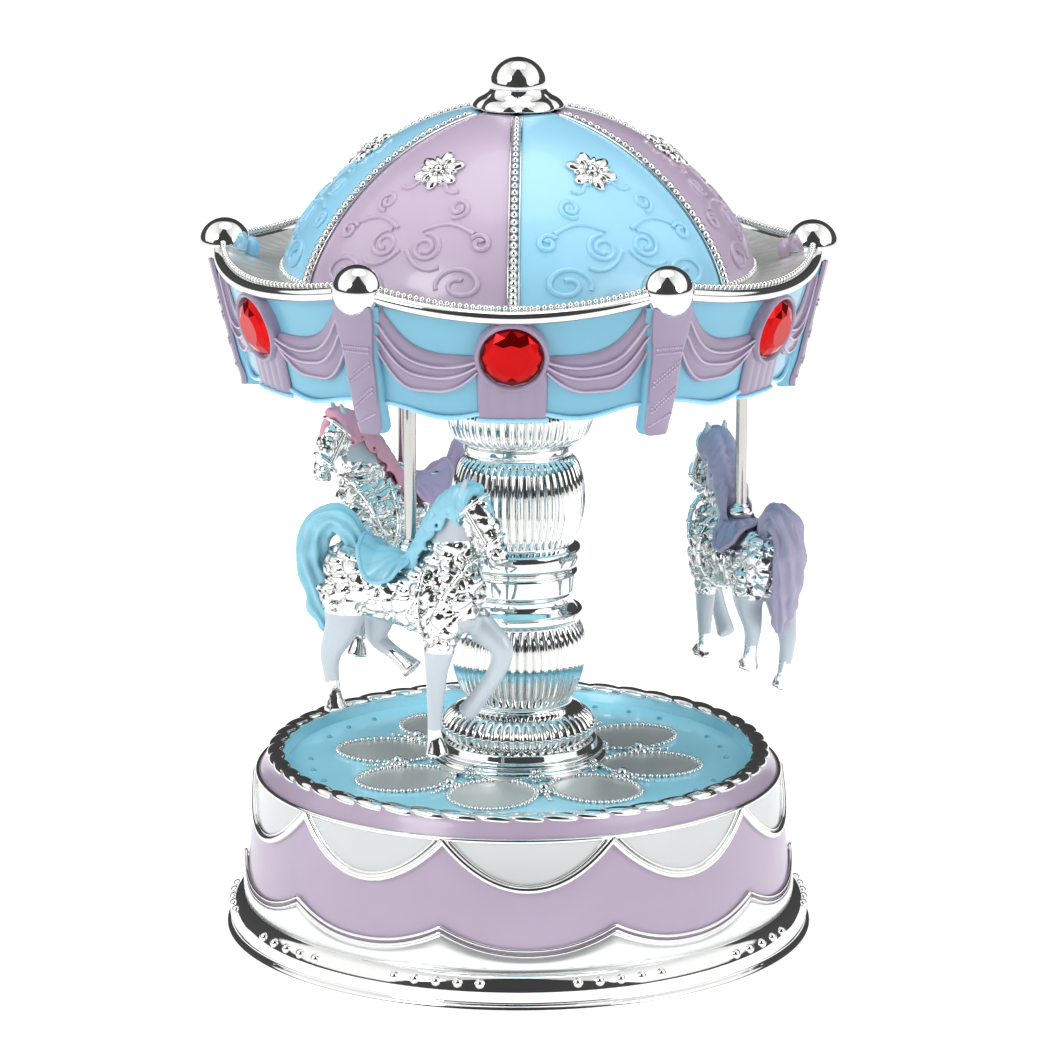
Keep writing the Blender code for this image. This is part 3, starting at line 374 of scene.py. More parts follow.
def build_drum():
    corners = [(drum_r(z), z, fillet) for z, fillet in ((7.4, 0.3), (16.0, 3.0), (24.0, 3.0), (31.0, 0.3))]
    corners += [(45.0, 31.0, 0.3), (45.0, 28.4, 0.3), (48.0, 26.0, 0.3), (50.2, 7.4, 0.3)]
    add("drum_lilac", lathe(corners, 240), "base", LILAC, ("drum_shell",))
    rows = []
    for rise in shares(8):
        row = []
        for azimuth in turns(480):
            z = between(6.9, skirt_edge(azimuth) - 0.3, rise)
            row.append(around(drum_r(z) + 0.35 + 0.3 * math.sin(rise * math.pi), azimuth, z))
        rows.append(row)
    thick(add("drum_skirt", web(rows), "base", WHITE_CHROME), 0.6)
    edges = []
    for lift in (-0.2, 0.85):
        edges.append([around(drum_r(12) + 0.25, a, skirt_edge(a) + lift) for a in turns(720)])
    add("drum_skirt_edging", tubes(edges, 0.3, cyclic=True), "base", CHROME)
    moons, borders, insets = [], [], []
    for lobe in range(DRUM_LOBES):
        middle = BASE_TURN + 36.0 * lobe
        rows, outer, inner = [], [], []
        for x in spread(40):
            low = DRUM_LINE - 8.5 * (1 - x * x)
            outer.append(around(drum_r(low) + 0.3, middle + 18.0 * x, low))
            low = DRUM_LINE - 7.6 * (1 - x * x)
            azimuth = middle + 16.2 * x
            inner.append(around(drum_r(low) + 0.3, azimuth, low))
            heights = [between(low, DRUM_LINE, t) for t in shares(8)]
            rows.append([around(drum_r(z) + 0.2, azimuth, z) for z in heights])
        moons.append(web(rows, ring=False))
        borders.append(outer)
        insets.append(inner)
    add("drum_half_moons", merged(moons), "base", PEARL_PANEL)
    borders = merged([tubes(borders, 0.72, 6), tubes(insets, 0.26, 4)])
    add("drum_moon_borders", borders, "base", CHROME)
    bead = [[around(drum_r(31) + 0.1, a, DRUM_LINE + 0.35) for a in turns(360)]]
    add("drum_top_bead", tubes(bead, 0.5, 6, cyclic=True), "base", CHROME)


def build_crown():
    """The leaning lilac wall round the deck, with a plated rope on its edge."""
    wall = [(49.4, 30.6, 0.3), (49.3, 31.3, 0.5), (47.8, 33.5, 1.4), (47.4, 34.8, 0.3), (46.2, 34.8, 0.2)]
    wall += [(46.2, 30.6, 0.2)]
    add("crown_lilac", lathe(wall, 240), "base", LILAC, ("scalloped_crown",))
    inner = [(45.2, 34.9, 0.3), (44.4, 33.8, 0.6), (43.6, 32.0, 0.3), (45.8, 32.0, 0.2), (45.8, 34.9, 0.2)]
    add("crown_inner_blue", lathe(inner, 240), "base", BLUE)
    rows = []
    for turn in turns(24):
        row = []
        for azimuth in turns(960):
            strand = abs(math.sin(math.radians(azimuth * FLUTES / 2 + turn / 2)))
            swell = 0.70 + 0.32 * strand ** 0.7
            out, up = math.cos(math.radians(turn)), math.sin(math.radians(turn))
            row.append(around(46.1 + 1.75 * swell * out, azimuth, 34.3 + 1.1 * swell * up))
        rows.append(row)
    add("crown_rope", web(rows, loop=True), "base", CHROME)


PETAL_TURN = -9.7
PETAL_R = 25.6
PETAL_LONG = 9.3
PETAL_HALF = 7.9


def build_deck():
    deck = node_box("deck_plate")[1].z
    corners = [(43.9, deck, 0.2), (43.9, deck - 1.6, 0.2), (4.2, deck - 1.6, 0.2), (4.2, deck, 0.2)]
    add("deck_blue", lathe(corners, 180), "base", BLUE, ("deck_plate",))
    petals, balls, dots = [], [], []
    for i in range(8):
        middle = PETAL_TURN + 45.0 * i
        rows = []
        for along in spread(32):
            radius = PETAL_R + PETAL_LONG * along
            half = PETAL_HALF * max(0.0, 1 - along * along) ** 0.5
            row = []
            for side in spread(8):
                azimuth = middle + math.degrees(math.atan2(half * side, radius))
                crown = 0.1 + 0.15 * (1 - side * side)
                row.append(around(math.hypot(radius, half * side), azimuth, deck + crown))
            rows.append(row)
        petals.append(web(rows, ring=False))
        for y, x in ring_of(1.0, 44):
            x, y = (PETAL_HALF + 0.2) * x, PETAL_R + (PETAL_LONG + 0.2) * y
            place = around(math.hypot(x, y), middle + math.degrees(math.atan2(x, y)), deck + 0.3)
            balls.append((place, 0.6))
        gap = middle + 22.5
        centre = around(23.4, gap, deck + 0.5)
        balls.append((centre + Vector((0, 0, 0.5)), 1.1))
        balls += [(centre + Vector((x, y, 0.0)), 0.8) for x, y in ring_of(1.5, 6)]
        for k in range(3):
            balls.append((around(26.0 + 1.5 * k, gap, deck + 0.3), 0.68 - 0.08 * k))
            dots.append((around(39.6, gap + 11.0 * (k - 1), deck), 0.55))
    add("deck_petals", merged(petals), "base", SILVER)
    add("deck_beads", beads(balls), "base", CHROME)
    add("deck_dots", beads(dots), "base", BLUE_SHADE)


# --- column


def fluted(*bands):
    """A warp that cuts flutes into a column's outside, over bands of (low, high, depth)."""

    def warp(r, azimuth, z):
        wave = abs(math.sin(math.radians(azimuth * FLUTES / 2))) - 0.7
        if r > COLUMN_CORE_R:
            r += wave * sum(depth * window(z, low, high) for low, high, depth in bands)
        return r, azimuth, z

    return warp


def build_column():
    bore = 3.6
    plinth = [(16.3, 32.2, 0.2), (16.9, 32.8, 0.5), (16.8, 34.0, 0.4), (15.9, 34.5, 0.3), (16.3, 34.9, 0.3)]
    plinth += [(16.1, 35.6, 0.3), (15.2, 35.6, 0.2), (14.8, 37.0, 0.3), (bore, 37.0, 0.2), (bore, 32.2, 0.2)]
    add("plinth_chrome", lathe(plinth, 192), "base", CHROME, ("column_plinth",))
    balls = []
    for i in range(8):
        azimuth = PETAL_TURN + 22.5 + 45 * i
        centre, side = around(16.9, azimuth, 33.6), around(1.0, azimuth + 90, 0.0)
        balls += [(centre + side * x + Vector((0, 0, z)), 0.55) for x, z in ring_of(1.0, 6)]
        balls.append((around(17.2, azimuth, 33.6), 0.6))
    add("plinth_rosettes", beads(balls), "base", CHROME)

    lower = [(13.0, 36.6, 0.4), (14.6, 38.6, 1.6), (14.2, 40.8, 1.4), (12.2, 42.8, 1.0), (9.9, 43.8, 0.6)]
    lower += [(9.9, 44.8, 0.6), (11.5, 48.2, 3.0), (12.6, 52.8, 3.0), (12.5, 57.0, 3.0), (11.3, 60.4, 0.5)]
    lower += [(12.0, 60.9, 0.4), (12.2, 62.4, 0.5), (bore, 62.4, 0.2), (bore, 36.6, 0.2)]
    flutes = fluted((37.0, 42.9, 1.0), (44.9, 60.3, 1.0))
    add("column_lower_chrome", lathe(lower, 384, flutes), "base", CHROME, ("column_lower",))

    upper = [(11.4, 62.2, 0.4), (10.0, 63.8, 1.2), (10.1, 65.6, 0.9), (11.3, 66.2, 0.4), (11.3, 69.8, 0.5)]
    upper += [(10.3, 70.4, 0.4), (11.8, 71.2, 0.5), (12.1, 72.8, 0.8), (11.8, 74.4, 0.5), (10.3, 75.2, 0.4)]
    upper += [(11.5, 78.4, 2.4), (12.4, 82.2, 3.0), (12.3, 86.4, 3.0), (11.2, 90.4, 2.4), (9.7, 92.4, 0.6)]
    upper += [(10.3, 92.9, 0.4), (10.3, 94.3, 0.3), (bore, 94.3, 0.2), (bore, 62.2, 0.2)]
    flutes = fluted((75.6, 92.0, 1.0))
    add("column_upper_chrome", lathe(upper, 384, flutes), "base", CHROME, ("column_upper",))

    capital = [(10.0, 94.2, 0.3), (12.6, 95.6, 1.2), (14.0, 99.0, 3.0), (13.6, 102.4, 2.0)]
    capital += [(12.0, 104.4, 0.6), (6.8, 105.2, 0.5), (6.5, 114.0, 0.3), (bore, 114.0, 0.2)]
    capital += [(bore, 94.2, 0.2)]
    flutes = fluted((95.0, 104.2, 1.1))
    add("capital_chrome", lathe(capital, 384, flutes), "base", CHROME, ("column_capital",))


# --- canopy

EAVE_Z = 127.7


def lobe_share(azimuth):
    """0 at the middle of a lobe of the canopy and 1 at its corners."""
    half = 180.0 / LOBES
    return abs((azimuth + half) % (2 * half) - half) / half


def rim_lift(azimuth):
    return 3.3 * lobe_share(azimuth) ** 1.8


def on_rim(r, azimuth, z):
    share = min(1.0, max(0.0, (r - 44.5) / 9.0))
    return r, azimuth, z + share * rim_lift(azimuth)


def build_eave():
    band = [(56.0, -0.2, 0.3), (56.7, 0.4, 0.6), (56.7, 1.5, 0.6), (56.0, 2.2, 0.5), (55.3, 2.3, 0.2)]
    band += [(54.2, 1.8, 0.3), (53.6, 0.4, 0.3), (54.3, -0.2, 0.2)]
    band = [(r, EAVE_Z + rise, fillet) for r, rise, fillet in band]
    add("eave_band", lathe(band, 360, on_rim), "carousel", CHROME, ("eave_rim",))

    def ribbed(r, azimuth, z):
        r, azimuth, z = on_rim(r, azimuth, z)
        return r, azimuth, z + 0.16 * math.cos(math.radians(azimuth * 90)) * window(r, 45.0, 53.6)

    gutter = [(54.4, 129.2, 0.2), (50.0, 127.9, 1.0), (44.4, 127.7, 0.6), (41.6, 127.6, 0.2)]
    gutter += [(41.6, 126.2, 0.3), (45.0, 126.0, 0.5), (50.0, 126.4, 0.8), (54.4, 127.2, 0.2)]
    add("eave_gutter", lathe(gutter, 720, ribbed), "carousel", SILVER)
    balls = [(around(*on_rim(54.8, azimuth, EAVE_Z + 2.6)), 0.56) for azimuth in turns(300)]
    balls += [(around(44.1, azimuth, 128.2), 0.62) for azimuth in turns(200)]
    add("eave_beads", beads(balls), "carousel", CHROME)


DOME_R = 44.0
DOME_FOOT = 127.9
DOME_RISE = 30.2
DOME_SPAN = 80.0


def on_dome(azimuth, share, lift=0.0):
    """A point of the dome, from its foot at share 0 to its crown at 1."""
    angle = share * math.radians(DOME_SPAN)
    rise = (DOME_RISE + lift) * math.sin(angle) ** 1.4
    return around((DOME_R + lift) * math.cos(angle), azimuth, DOME_FOOT + rise)


def dome_panel(middle):
    """One of the six panels, slightly crowned between its ribs."""
    lifts = [(middle + 30.0 * side, 0.5 * (1 - side ** 4) - 0.4) for side in spread(24)]
    rows = [[on_dome(azimuth, share, lift) for azimuth, lift in lifts] for share in shares(32)]
    return web(rows, ring=False)


def curl(side, share, size, start, winds):
    """A line that rolls in on itself. side is in degrees from a panel's middle and size in millimetres."""
    line = []
    wide = math.degrees(1 / (DOME_R * math.cos(share * math.radians(DOME_SPAN))))
    for t in shares(48):
        angle = math.radians(start + 360.0 * winds * t)
        reach = size * (1 - 0.72 * t)
        line.append((side + reach * math.cos(angle) * wide, share + reach * math.sin(angle) / 50.0))
    return line


def panel_relief(middle):
    """The raised filigree of a panel: curls by its ribs, scrolls in its middle and tendrils above."""
    sketch = [
        curl(17.0, 0.17, 4.6, 200, -1.35),
        curl(6.2, 0.33, 3.0, 100, -1.6),
        curl(12.8, 0.50, 2.0, 250, 1.4),
        curl(21.0, 0.36, 1.9, 150, -1.3),
        [(x, 0.40 + 0.035 * math.sin(math.pi * (x - 4.0) / 15.0)) for x in (*range(4, 19, 2), 19)],
        [(x, 0.605 - 0.0045 * x - 0.012 * math.sin(x)) for x in (3, 5, 7, 9, 11)],
        [(x, 0.235 + 0.0016 * (x - 8.0) ** 2) for x in (1, 3, 5, 7, 9, 11)],
    ]
    lines = []
    for line in sketch:
        for turn in (-1, 1):
            lines.append([on_dome(middle + turn * side, share, 0.02) for side, share in line])
    return lines


# A rosette's broad petals and the small leaves between them: reach, lift and shape.
PETALS = ((3.0, 0.0, (1.9, 1.2, 0.75)), (3.0, 0.5, (1.5, 0.28, 0.5)))
LEAVES = ((2.5, 0.2, (1.3, 0.55, 0.7)),)


def build_dome():
    for colour, start in ((LILAC_PALE, -30), (BLUE_PALE, 30)):
        panels = merged([dome_panel(start + 120 * i) for i in range(3)])
        name = "dome_lilac_panels" if start < 0 else "dome_blue_panels"
        thick(add(name, panels, "carousel", colour, ("dome_shell",) if start > 0 else ()), 1.2)
        lines = [line for i in range(3) for line in panel_relief(start + 120 * i)]
        add(name.replace("panels", "scrolls"), tubes(lines, 0.5, 5), "carousel", colour)
    balls, petals, strips = [], [], []
    for rib in range(LOBES):
        azimuth = 60.0 * rib
        spin = Matrix.Rotation(math.radians(azimuth), 4, "Z")
        share = 0.02
        while share < 0.965:
            size = between(0.92, 0.6, share)
            link = between(1.2, 1.0, smooth(share / 0.3))
            slope = Matrix.Rotation(-share * math.radians(65), 4, "X")
            shape = spin @ slope @ Matrix.Diagonal((0.95, 0.9, link, 1.0))
            balls.append((on_dome(azimuth, share, 0.3), size, shape))
            share += 2.25 * size * link / 57.0
        for side in (-0.95, 0.95):
            strip = []
            for t in shares(40):
                turn = math.degrees(side / max(6.0, on_dome(azimuth, 0.97 * t).xy.length))
                strip.append(on_dome(azimuth + turn, 0.97 * t))
            strips.append(strip)
    for panel in range(LOBES):
        middle = 60.0 * panel + 30.0
        centre = on_dome(middle, 0.645, 0.3)
        up = (on_dome(middle, 0.65) - on_dome(middle, 0.61)).normalized()
        side = (on_dome(middle + 1, 0.63) - on_dome(middle - 1, 0.63)).normalized()
        out = side.cross(up)
        for k in range(12):
            a = math.radians(30 * k + 30)
            along = side * math.cos(a) + up * math.sin(a)
            turn = Matrix((along, out.cross(along), out)).transposed().to_4x4()
            for reach, lift, shape in LEAVES if k % 2 else PETALS:
                place = centre + along * reach + out * lift
                petals.append((place, 1.0, turn @ Matrix.Diagonal((*shape, 1.0))))
            if k % 2 == 0:
                petals.append((centre + along * 1.3 + out * 0.5, 0.42))
        petals.append((centre + out * 0.55, 0.85))
    add("dome_ribs", merged([beads(balls), tubes(strips, 0.16, 5)]), "carousel", CHROME)
    add("dome_rosettes", beads(petals, 3), "carousel", CHROME)


KNOB_R = 5.35
KNOB_Z = 161.65


def build_finial():
    def lobed(r, azimuth, z):
        share = smooth((161.0 - z) / 1.8) * smooth((r - 2.5) / 3.0)
        return r - share * 0.7 * (1 - abs(math.sin(math.radians(azimuth * 3)))) ** 2, azimuth, z

    corners = [(r, KNOB_Z + rise) for rise, r in ring_of(KNOB_R, 40)[:11]]
    corners += [(5.2, 161.3, 0.1), (5.5, 160.6, 0.3), (6.3, 159.9, 0.8), (7.6, 159.3, 1.0)]
    corners += [(8.5, 158.3, 0.6), (8.6, 157.7, 0.2), (5.0, 157.9, 0.3), (0.0, 157.9)]
    add("finial_chrome", lathe(corners, 180, lobed, closed=False), "carousel", CHROME, ("finial",))


def build_corner_balls():
    tabs = {BLUE_PALE: [], LILAC_PALE: []}
    for number in range(1, LOBES + 1):
        low, high = node_box(f"corner_ball_{number}")
        centre = (low + high) / 2
        away = Vector((centre.x, centre.y, 0.0)).normalized()
        add(f"ball_{number}", beads([(centre, 4.85)], 5), "carousel", CHROME, (f"corner_ball_{number}",))
        tab = centre - away * 4.6 - Vector((0, 0, 0.9))
        turn = away.to_track_quat("X", "Z").to_matrix().to_4x4()
        colour = (BLUE_PALE, LILAC_PALE)[round(math.degrees(math.atan2(away.x, -away.y)) / 60 - 0.5) % 2]
        tabs[colour].append((tab, 1.9, turn @ Matrix.Diagonal((1.0, 1.0, 1.25, 1.0))))
    add("ball_tabs_blue", beads(tabs[BLUE_PALE], 3), "carousel", BLUE_PALE)
    add("ball_tabs_lilac", beads(tabs[LILAC_PALE], 3), "carousel", LILAC_PALE)


HEM_Z = 111.0


def wall_r(z):
    return 50.5 + 3.9 * (z - HEM_Z) / 16.6


def hem_z(azimuth):
    """The lower edge of the blue border: it sags between a boss and a drop."""
    x = lobe_share(azimuth)
    return HEM_Z + 0.2 - 1.9 * math.sin(math.pi * min(1.0, x / 0.9)) ** 2


def build_valance():
    rows = []
    for face, count in ((0.0, 14), (-1.5, 1)):
        for rise in shares(count)[::-1 if face else 1]:
            row = []
            for azimuth in turns(720):
                z = between(hem_z(azimuth), 127.7 + rim_lift(azimuth), rise)
                row.append(around(wall_r(min(z, 128.5)) + face, azimuth, z))
            rows.append(row)
    add("valance_blue", web(rows, loop=True), "carousel", BLUE_SHADE, ("valance",))
    edge = [around(wall_r(HEM_Z) + 0.1, a, hem_z(a) + 0.15) for a in turns(720)]
    lip = tubes([edge], 0.42, 5, cyclic=True)
    add("valance_lip", lip, "carousel", BLUE_PALE)
    swags, piping = [], []
    for lobe in range(LOBES):
        for side in (-1, 1):
            rows = []
            for along in shares(36):
                azimuth = 60.0 * lobe + side * between(27.0, 6.6, along)
                top = min(121.4 + 12.5 * (1 - along) ** 4.2, 127.5 + rim_lift(azimuth))
                low = 114.0 + 8.0 * max(0.0, 1 - along / 0.4) ** 2.2
                low += 4.2 * max(0.0, (along - 0.6) / 0.4) ** 2
                row = []
                for t in shares(44):
                    z = between(top, low, t)
                    fold = sum(math.exp(-((t - at) / 0.045) ** 2) for at in (0.34, 0.62, 0.95))
                    swell = 0.9 * math.sin(math.pi * t) ** 0.5
                    row.append(around(wall_r(min(z, 128.5)) + 0.1 + swell + 0.5 * fold, azimuth, z))
                rows.append(row)
            swags.append(web(rows, ring=False))
            for k in (15, 27, 42):
                piping.append([row[k] * 1.001 for row in rows])
    add("valance_swags", merged(swags), "carousel", LILAC_SHADE)
    add("valance_piping", tubes(piping, 0.22), "carousel", LILAC_PALE)


STONE_Z = 121.7
BOSS_FACE_R = 53.2
BOSS_TILT = 15.0


def boss_matrix(lobe):
    out = Matrix.Rotation(math.radians(90 + BOSS_TILT), 4, "X")
    spin = Matrix.Rotation(math.radians(60.0 * lobe), 4, "Z")
    return spin @ Matrix.Translation((0.0, -BOSS_FACE_R * MM, STONE_Z * MM)) @ out


def build_bosses():
    """The blocks that carry the stones: a ring round each stone and a straight fluted stem below."""
    cups, stems, lips = [], [], []
    cup = [(6.5, -1.6, 0.2), (6.75, 1.0, 0.4), (6.4, 1.9, 0.4), (5.8, 1.6, 0.3), (5.6, 0.5, 0.2)]
    cup += [(0.0, 0.5), (0.0, -1.6)]
    for lobe in range(LOBES):
        mesh = lathe(cup, 64, closed=False)
        mesh.transform(boss_matrix(lobe))
        cups.append(mesh)
        rows = []
        for t in shares(16):
            z = between(121.0, 109.4, t)
            row = []
            for x in spread(60):
                flute = 0.18 * abs(math.cos(math.pi * 2.5 * x)) + 0.9 * math.sqrt(max(0.0, 1 - x ** 6))
                row.append(around(wall_r(z) + 0.1 + flute, 60.0 * lobe + 7.0 * x, z))
            rows.append(row)
        stems.append(web(rows, ring=False))
        lips.append([point + Vector((0, 0, -0.1)) for point in rows[-1]])
    add("stone_bezels", merged(cups), "carousel", LILAC_SHADE)
    thick(add("boss_stems", merged(stems), "carousel", LILAC_SHADE), 1.6)
    add("boss_lips", tubes(lips, 0.4, 5), "carousel", BLUE_PALE)


def build_stones():
    """Round faceted stones with a broad table, set in the bezels."""
    sides = 12
    rings = ((5.55, 0.0, 0), (5.55, 0.5, 0), (4.5, 1.45, 1), (3.1, 2.1, 0))
    for lobe in range(LOBES):
        work = bmesh.new()
        made = []
        for radius, height, twist in rings:
            corners = ring_of(radius, 2 * sides)[twist::2]
            made.append([work.verts.new(Vector((x, y, height)) * MM) for x, y in corners])
        girdle, rim, crown, table = made
        for i in range(sides):
            j = (i + 1) % sides
            work.faces.new((girdle[i], girdle[j], rim[j], rim[i]))
            work.faces.new((rim[i], rim[j], crown[i]))
            work.faces.new((rim[j], crown[j], crown[i]))
            work.faces.new((crown[i], crown[j], table[j]))
            work.faces.new((crown[i], table[j], table[i]))
        work.faces.new(table)
        work.faces.new(girdle[::-1])
        bmesh.ops.recalc_face_normals(work, faces=work.faces)
        mesh = finished(work, "stone")
        mesh.transform(boss_matrix(lobe) @ Matrix.Translation((0, 0, 0.7 * MM)))
        add(f"stone_{lobe + 1}", mesh, "carousel", RUBY, (f"red_stone_{lobe + 1}",), crease=5.0)


def drop_half(z):
    """A drop's half width at a height."""
    return between(2.7, 3.4, smooth((z - 105.0) / 14.0)) + 1.2 * smooth((z - 119.0) / 9.0)


def drop_front(z):
    """How far a drop's face stands out from the axis of the box."""
    return wall_r(max(z, 107.0)) + 2.3 + 0.5 * smooth((z - 106.0) / 5.0)


# The height and slant of each line of the ribbons that cross a drop.
RIBBONS = ((122.0, 0.0), (121.1, 0.0), (117.6, 2.0), (116.8, 2.0), (112.6, 2.0), (111.8, 2.0), (108.4, 1.2))


def build_drops():
    """Tapered drops that hang under the corner balls: lilac faces crossed by ribbons, on blue backs."""
    faces, backs, dots = [], [], []
    for corner in range(LOBES):
        middle = 60.0 * corner + 30.0
        across = around(1.0, middle + 90, 0.0)
        for made, inner, outer, wide in ((backs, -3.4, -1.1, 1.0), (faces, -1.1, 0.0, 0.86)):
            rows = []
            for t in shares(24):
                z = between(129.6, 105.5, t)
                half = drop_half(z) * wide * (1.0 if z > 106.4 else 0.8)
                ring = []
                for x, y in ((-1, 0), (-1, 0.6), (-0.75, 1), (0.75, 1), (1, 0.6), (1, 0), (0, -0.1)):
                    face = around(drop_front(z) + between(inner, outer, y), middle, z)
                    ring.append(face + across * half * x)
                rows.append(ring)
            work = bmesh.new()
            work.from_mesh(web(rows))
            bmesh.ops.holes_fill(work, edges=work.edges)
            bmesh.ops.recalc_face_normals(work, faces=work.faces)
            made.append(finished(work, "drop"))
        for z, slant in RIBBONS:
            for x in spread(10):
                height = z + slant * 0.9 * x
                point = around(drop_front(height) + 0.02, middle, height)
                dots.append((point + across * drop_half(height) * 0.702 * x, 0.27))
    add("drop_backs", merged(backs), "carousel", BLUE_SHADE, crease=50)
    add("drop_faces", merged(faces), "carousel", LILAC_SHADE, crease=50)
    add("drop_ribbons", beads(dots, 1), "carousel", LILAC_PALE)


# --- horses

# Stations along each limb: forward, left and up from the pole's foot in the saddle, then the
# half width and the half depth. Forward is the way the carousel turns; left is towards the column.
SADDLE_Z = 80.0
STROKE = 4.8
CAM_HIGH_AZIMUTH = 63.5
POLE_CLEARANCE = 2.8
SADDLE_MIDDLE = -3.9
SADDLE_HALF = 5.6
SADDLE_WRAP = 66.0
HORSE_TURNS = (0.0, 22.0, 0.0)
HORSE_PITCHES = (0.0, 5.0, 3.0)
HORSE_REACHES = (0.0, 0.0, 2.6)
HORSE_DROPS = (0.0, 4.6, 0.0)
MANES = (HAIR_BLUE, HAIR_LILAC, PINK)
TAILS = (HAIR_BLUE, HAIR_LILAC, ORCHID)  # and saddles
BODY = (
    (-17.0, 0, -3.2, 2.0, 2.6),
    (-14.6, 0, -3.2, 4.9, 5.9),
    (-9.0, 0, -4.2, 5.9, 6.8),
    (-3.0, 0, -5.4, 5.6, 6.3),
    (3.0, 0, -5.6, 5.8, 7.0),
    (8.0, 0, -5.4, 5.7, 8.2),
    (11.8, 0, -5.4, 4.7, 6.8),
    (14.0, 0, -5.6, 2.6, 4.0),
)
NECK = (
    (6.4, 0, -4.0, 4.2, 6.2),
    (7.8, 0, 1.2, 3.3, 5.2),
    (8.8, 0, 6.0, 2.6, 4.2),
    (10.0, 0, 10.0, 2.2, 3.4),
    (11.8, 0, 12.6, 2.1, 2.8),
)
HEAD = (
    (10.4, 0, 12.8, 2.1, 2.4),
    (12.8, 0, 11.8, 2.5, 3.2),
    (15.2, 0, 8.6, 2.3, 2.9),
    (16.8, 0, 5.4, 1.9, 2.1),
    (18.0, 0, 3.0, 1.75, 1.8),
    (18.6, 0, 1.8, 1.1, 1.2),
)
EAR = ((11.6, 1.3, 13.6, 0.8, 0.8), (11.9, 1.7, 15.6, 0.8, 0.7), (12.4, 1.9, 17.4, 0.35, 0.35))
STRAIGHT_FORELEG = (
    (8.0, 2.8, -7.0, 3.4, 4.8),
    (7.6, 3.1, -13.0, 2.6, 3.4),
    (7.0, 3.2, -18.6, 1.9, 2.2),
    (6.9, 3.2, -21.4, 1.75, 1.9),
    (6.6, 3.2, -27.0, 1.35, 1.4),
    (6.6, 3.2, -31.0, 1.35, 1.45),
    (6.9, 3.2, -33.0, 1.75, 1.85),
    (7.1, 3.2, -34.6, 2.3, 2.4),
)
BENT_FORELEG = (
    (9.0, 2.8, -7.6, 3.2, 4.2),
    (13.2, 3.1, -11.6, 2.4, 2.9),
    (17.0, 3.2, -14.8, 1.9, 2.2),
    (15.8, 3.2, -19.4, 1.6, 1.75),
    (12.8, 3.2, -23.8, 1.5, 1.6),
    (10.8, 3.2, -26.4, 1.7, 1.8),
    (9.6, 3.2, -27.8, 1.8, 1.9),
)
STRAIGHT_HINDLEG = (
    (-12.0, 2.6, -5.6, 4.0, 5.6),
    (-12.4, 3.1, -12.0, 2.8, 3.6),
    (-15.0, 3.3, -18.0, 1.7, 2.1),
    (-14.8, 3.3, -22.6, 1.35, 1.45),
    (-14.4, 3.3, -26.2, 1.6, 1.65),
    (-14.0, 3.3, -28.6, 2.3, 2.3),
)
REACHING_HINDLEG = (
    (-11.0, 2.6, -5.6, 4.0, 5.4),
    (-8.4, 3.0, -11.2, 2.7, 3.3),
    (-9.0, 3.2, -15.6, 1.7, 2.0),
    (-5.8, 3.2, -18.0, 1.3, 1.4),
    (-3.2, 3.2, -19.6, 1.6, 1.6),
    (-1.4, 3.2, -21.0, 2.2, 2.2),
)
TAIL = (
    (-10.8, 0, 0.2, 1.6, 1.8),
    (-12.2, 0, 4.4, 2.2, 2.2),
    (-15.4, 0, 6.6, 2.6, 2.4),
    (-19.0, 0, 4.4, 2.7, 2.7),
    (-20.6, 0, -0.6, 2.7, 2.7),
    (-19.8, 0, -5.8, 2.4, 2.5),
    (-19.0, 0, -10.0, 2.1, 2.2),
    (-17.8, 0, -13.2, 1.4, 1.5),
    (-17.2, 0, -15.2, 0.6, 0.7),
    (-17.1, 0, -15.8, 0.05, 0.05),
)
FORELOCK = (
    (12.2, 0, 15.0, 1.0, 0.9),
    (14.6, 0, 13.8, 1.0, 0.9),
    (16.2, 0, 11.4, 0.8, 0.7),
    (17.0, 0, 9.2, 0.4, 0.4),
)
# Along the crest of the neck: forward and up.
CREST = ((1.0, 1.2), (3.2, 5.2), (5.2, 9.2), (7.8, 12.8), (10.6, 14.8), (13.2, 14.6))


def blended(stations, steps=4):
    """More stations, on a smooth curve through the given ones."""
    out = []
    last = len(stations) - 1
    for i in range(last):
        p = [stations[max(i - 1, 0)], stations[i], stations[i + 1], stations[min(i + 2, last)]]
        for k in range(steps):
            t = k / steps
            out.append(tuple(
                b + 0.5 * t * (c - a + t * (2 * a - 5 * b + 4 * c - d + t * (3 * b - a - 3 * c + d)))
                for a, b, c, d in zip(*p)
            ))
    out.append(tuple(float(v) for v in stations[-1]))
    return out


def sweep(work, stations, sides=16):
    """Adds a closed tube of oval section through a limb's stations to a bmesh."""
    points = [Vector(s[:3]) for s in stations]
    rings = []
    for i, (point, station) in enumerate(zip(points, stations)):
        along = (points[min(i + 1, len(points) - 1)] - points[max(i - 1, 0)]).normalized()
        across = Vector((0, 1, 0)) - along * along.y
        across.normalize()
        deep = along.cross(across)
        ring = []
        for side in range(sides):
            a = 2 * math.pi * side / sides
            offset = across * math.cos(a) * station[3] + deep * math.sin(a) * station[4]
            ring.append(work.verts.new((point + offset) * MM))
        rings.append(ring)
    for near, far in zip(rings, rings[1:]):
        for side in range(sides):
            after = (side + 1) % sides
            work.faces.new((near[side], near[after], far[after], far[side]))
    work.faces.new(rings[0][::-1])
    work.faces.new(rings[-1])


def other_side(stations):
    return tuple((u, -v, w, a, b) for u, v, w, a, b in stations)


def reached(stations, reach):
    """Moves what is high up forward, as a horse holds out its head."""
    return tuple((u + reach * max(0.0, w / 12.0), v, w, a, b) for u, v, w, a, b in stations)


